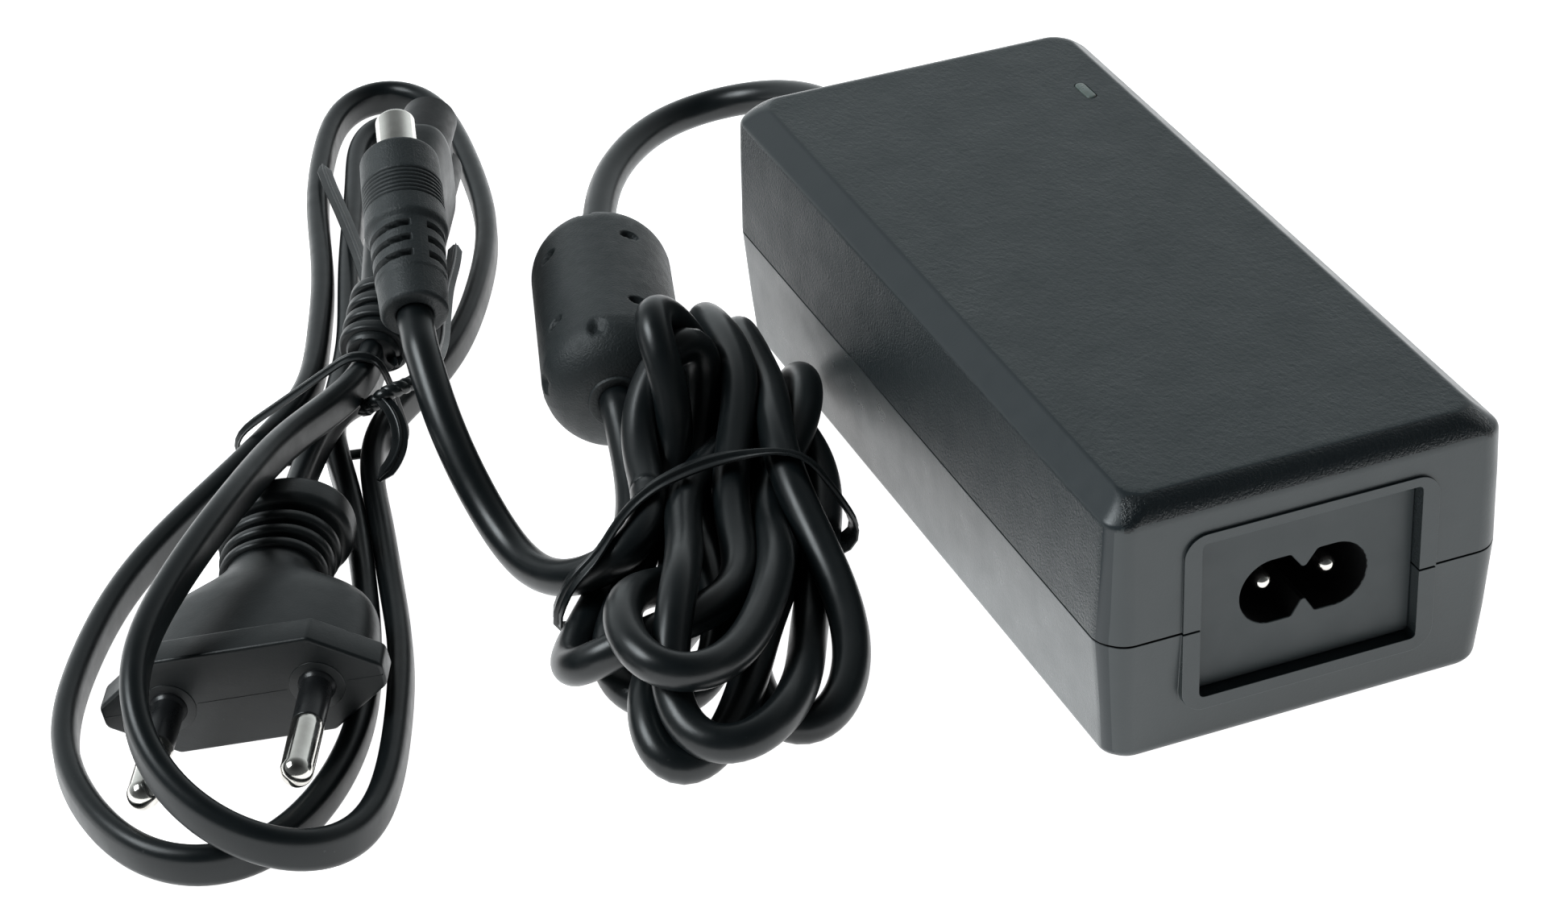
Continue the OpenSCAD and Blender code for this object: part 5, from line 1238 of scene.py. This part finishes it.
housing = boolean(housing, [make("c0", *prism_y(lobes(4.35), -58, -45.3), M["inner_black"])])
# cavity walls take the painted recess shade
finish_shell(housing, ["inlet_face", "inner_black"], lambda n, c: "inner_black" if (abs(c.x) < 8.7 and abs(c.z - PZ) < 4.6 and c.y > -56.55) else "inlet_face", 0.22, 40, 3)
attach(housing, "adapter")
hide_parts("inlet_housing")

pp = []
for s in (-1, 1):
    n = 48
    ph = np.arange(n) * 2 * np.pi / n
    prf = [(-55.1 + 1.2 - 1.2 * math.cos(math.radians(a)), max(0.08, 1.2 * math.sin(math.radians(a)))) for a in range(4, 91, 8)] + [(-53.9, 1.2), (-52, 1.2), (-49, 1.2), (-45.2, 1.2)]
    R = np.array([np.stack([s * 4.3 + r * np.cos(ph), np.full(n, y), PZ + r * np.sin(ph)], 1) for y, r in prf])
    pp.append((R.reshape(-1, 3), ring_faces(len(prf), n)))
V, F = merge(pp)
ipins = make("inlet_pins_skin", V, F, M["nickel"], sharp=50)
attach(ipins, "adapter")
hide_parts("inlet_pins")

# indicator window: a slightly crowned light pipe in its slot
wo = [(0.72 * math.cos(a), 0.72 * math.sin(a) + (1.63 if math.sin(a) >= 0 else -1.63)) for a in (np.arange(40) + 0.5) * np.pi / 20]
led = make("indicator_lens", *plate(wo, 0, 2.0, 0.22, basis([17.9, 38.4, 34.92], np.array([0, 0, 1.0]), np.array([1.0, 0, 0]), np.array([0, 1.0, 0])), 4), M["window"], sharp=60)
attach(led, "adapter")
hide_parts("led_window")

# ----------------------------------------------- materials of the carried-over nodes
SLOTS = {"barrel_plug_body": "moulded_black",
 "barrel_plug_contact": "brass",
 "barrel_plug_insulator": "plastic_black",
 "barrel_plug_sleeve": "nickel",
 "bridge_rectifier": "plastic_black",
 "bulk_capacitor": "capacitor_sleeve",
 "choke_core": "ferrite",
 "choke_windings": "copper",
 "control_ic": "plastic_black",
 "cord_boot": "cord_black",
 "cord_tie": "tie_black",
 "ferrite_core": "ferrite",
 "ferrite_cover": "moulded_black",
 "fuse": "plastic_brown",
 "heatsink_screws": "steel",
 "indicator_led": "window_green",
 "inlet_housing": "plastic_black",
 "inlet_pins": "nickel",
 "inlet_terminals": "brass",
 "insulating_sheet": "paper_cream",
 "led_window": "window_green",
 "lower_case": "case_black",
 "main_board": "board_green",
 "mains_connector_body": "plug_black",
 "mains_connector_contacts": "brass",
 "mains_connector_insert": "plastic_black",
 "mains_cord": "cord_black",
 "mains_pin_sleeves": "plastic_black",
 "mains_plug_body": "plug_black",
 "mains_plug_carrier": "plastic_white",
 "mains_plug_pins": "nickel",
 "mains_tie": "tie_black",
 "optocoupler": "plastic_white",
 "output_capacitors": "capacitor_sleeve",
 "output_cord": "cord_black",
 "output_cord_coil": "cord_black",
 "output_cord_start": "cord_black",
 "output_diode": "plastic_black",
 "output_inductor": "ferrite",
 "output_wires": "wire_red",
 "plug_cord": "cord_black",
 "primary_heatsink": "aluminium",
 "primary_transistor": "plastic_black",
 "rating_label": "label_grey",
 "secondary_heatsink": "aluminium",
 "shield_plate": "copper",
 "transformer_bobbin": "plastic_brown",
 "transformer_core": "ferrite",
 "transformer_winding": "tape_yellow",
 "upper_case": "case_black",
 "varistor": "ceramic_blue",
 "x_capacitor": "film_yellow",
 "y_capacitor": "ceramic_blue"}
PICK = {"case_black": "case_end", "label_grey": "label", "window_green": "window", "wire_red": "wire", "cord_black": "cord", "moulded_black": "moulded", "plug_black": "plug", "tie_black": "tie"}
for nname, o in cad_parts.items():
    s = SLOTS.get(nname, "plastic_black")
    o.data.materials.clear()
    o.data.materials.append(M[PICK.get(s, s)])

# ------------------------------------------------------------ floor, light, camera
me = bpy.data.meshes.new("floor")
s = 6.0
me.from_pydata([(-s, -s, -0.00005), (s, -s, -0.00005), (s, s, -0.00005), (-s, s, -0.00005)], [], [(0, 1, 2, 3)])
floor = bpy.data.objects.new("floor", me)
scene.collection.objects.link(floor)
fm = Mat("pale_floor")
fm.link(fm.ramp(fm.noise(3.0, 2), [(0.3, (0.86, 0.86, 0.86)), (0.7, (0.89, 0.89, 0.89))]), fm.b.inputs["Base Color"])
fm.b.inputs["Roughness"].default_value = 0.9
fm.b.inputs["Specular IOR Level"].default_value = 0.1
fm.b.inputs["Emission Color"].default_value = (1, 1, 1, 1)
fm.b.inputs["Emission Strength"].default_value = FLOOR_GLOW
me.materials.append(fm.m)

world = bpy.data.worlds.new("studio")
scene.world = world
world.use_nodes = True
wt = world.node_tree
wt.nodes.clear()
wo_ = wt.nodes.new("ShaderNodeOutputWorld")
bg = wt.nodes.new("ShaderNodeBackground")
tc = wt.nodes.new("ShaderNodeTexCoord")
sp = wt.nodes.new("ShaderNodeSeparateXYZ")
cr = wt.nodes.new("ShaderNodeValToRGB")
wt.links.new(tc.outputs["Generated"], sp.inputs[0])
wt.links.new(sp.outputs[2], cr.inputs[0])
el = cr.color_ramp.elements
while len(el) < len(WORLD):
    el.new(0.5)
for e_, (p, v) in zip(el, WORLD):
    e_.position = p
    e_.color = (v * 0.93, v, v * 1.02, 1)
dt = wt.nodes.new("ShaderNodeVectorMath")
dt.operation = "DOT_PRODUCT"
wt.links.new(tc.outputs["Generated"], dt.inputs[0])
dt.inputs[1].default_value = (0.36, 0.933, 0.0)
mr = wt.nodes.new("ShaderNodeMapRange")
mr.inputs[1].default_value = -1.0
wt.links.new(dt.outputs["Value"], mr.inputs[0])
cb = wt.nodes.new("ShaderNodeValToRGB")
wt.links.new(mr.outputs[0], cb.inputs[0])
while len(cb.color_ramp.elements) < len(WORLD_BACK):
    cb.color_ramp.elements.new(0.5)
for e_, (p, v) in zip(cb.color_ramp.elements, WORLD_BACK):
    e_.position = p
    e_.color = (v, v, v, 1)
ml = wt.nodes.new("ShaderNodeMixRGB")
ml.blend_type = "MULTIPLY"
ml.inputs[0].default_value = 1.0
wt.links.new(cr.outputs[0], ml.inputs[1])
wt.links.new(cb.outputs[0], ml.inputs[2])
wt.links.new(ml.outputs[0], bg.inputs[0])
bg.inputs[1].default_value = WORLD_K
wt.links.new(bg.outputs[0], wo_.inputs[0])


def area(name, pos, target, size, power, color=(1, 1, 1)):
    d = bpy.data.lights.new(name, "AREA")
    d.shape = "RECTANGLE"
    d.size, d.size_y = size
    d.energy = power
    d.color = color
    o = bpy.data.objects.new(name, d)
    scene.collection.objects.link(o)
    o.location = pos
    o.rotation_euler = (Vector(target) - Vector(pos)).to_track_quat("-Z", "Y").to_euler()
    return o


for spec in LIGHTS:
    area(*spec)

az, elv, roll, dist = (math.radians(v) for v in (-21.135, 32.19, -2.493, 0.0))
dist = 0.53179
back = Vector((math.sin(az) * math.cos(elv), -math.cos(az) * math.cos(elv), math.sin(elv)))
right0 = Vector((math.cos(az), math.sin(az), 0))
up0 = back.cross(right0)
Rv = math.cos(roll) * right0 + math.sin(roll) * up0
Uv = -math.sin(roll) * right0 + math.cos(roll) * up0
cam = bpy.data.cameras.new("camera")
cam.lens = 90.9
cam.sensor_width = 36
cam.clip_start = 0.02
cam_o = bpy.data.objects.new("camera", cam)
scene.collection.objects.link(cam_o)
Cp = Vector((-33.989, 24.039, 0)) * MM + back * dist
cam_o.matrix_world = Matrix(((Rv.x, Uv.x, back.x, Cp.x), (Rv.y, Uv.y, back.y, Cp.y), (Rv.z, Uv.z, back.z, Cp.z), (0, 0, 0, 1)))
scene.camera = cam_o
scene.view_settings.view_transform = "Standard"
scene.view_settings.look = "None"
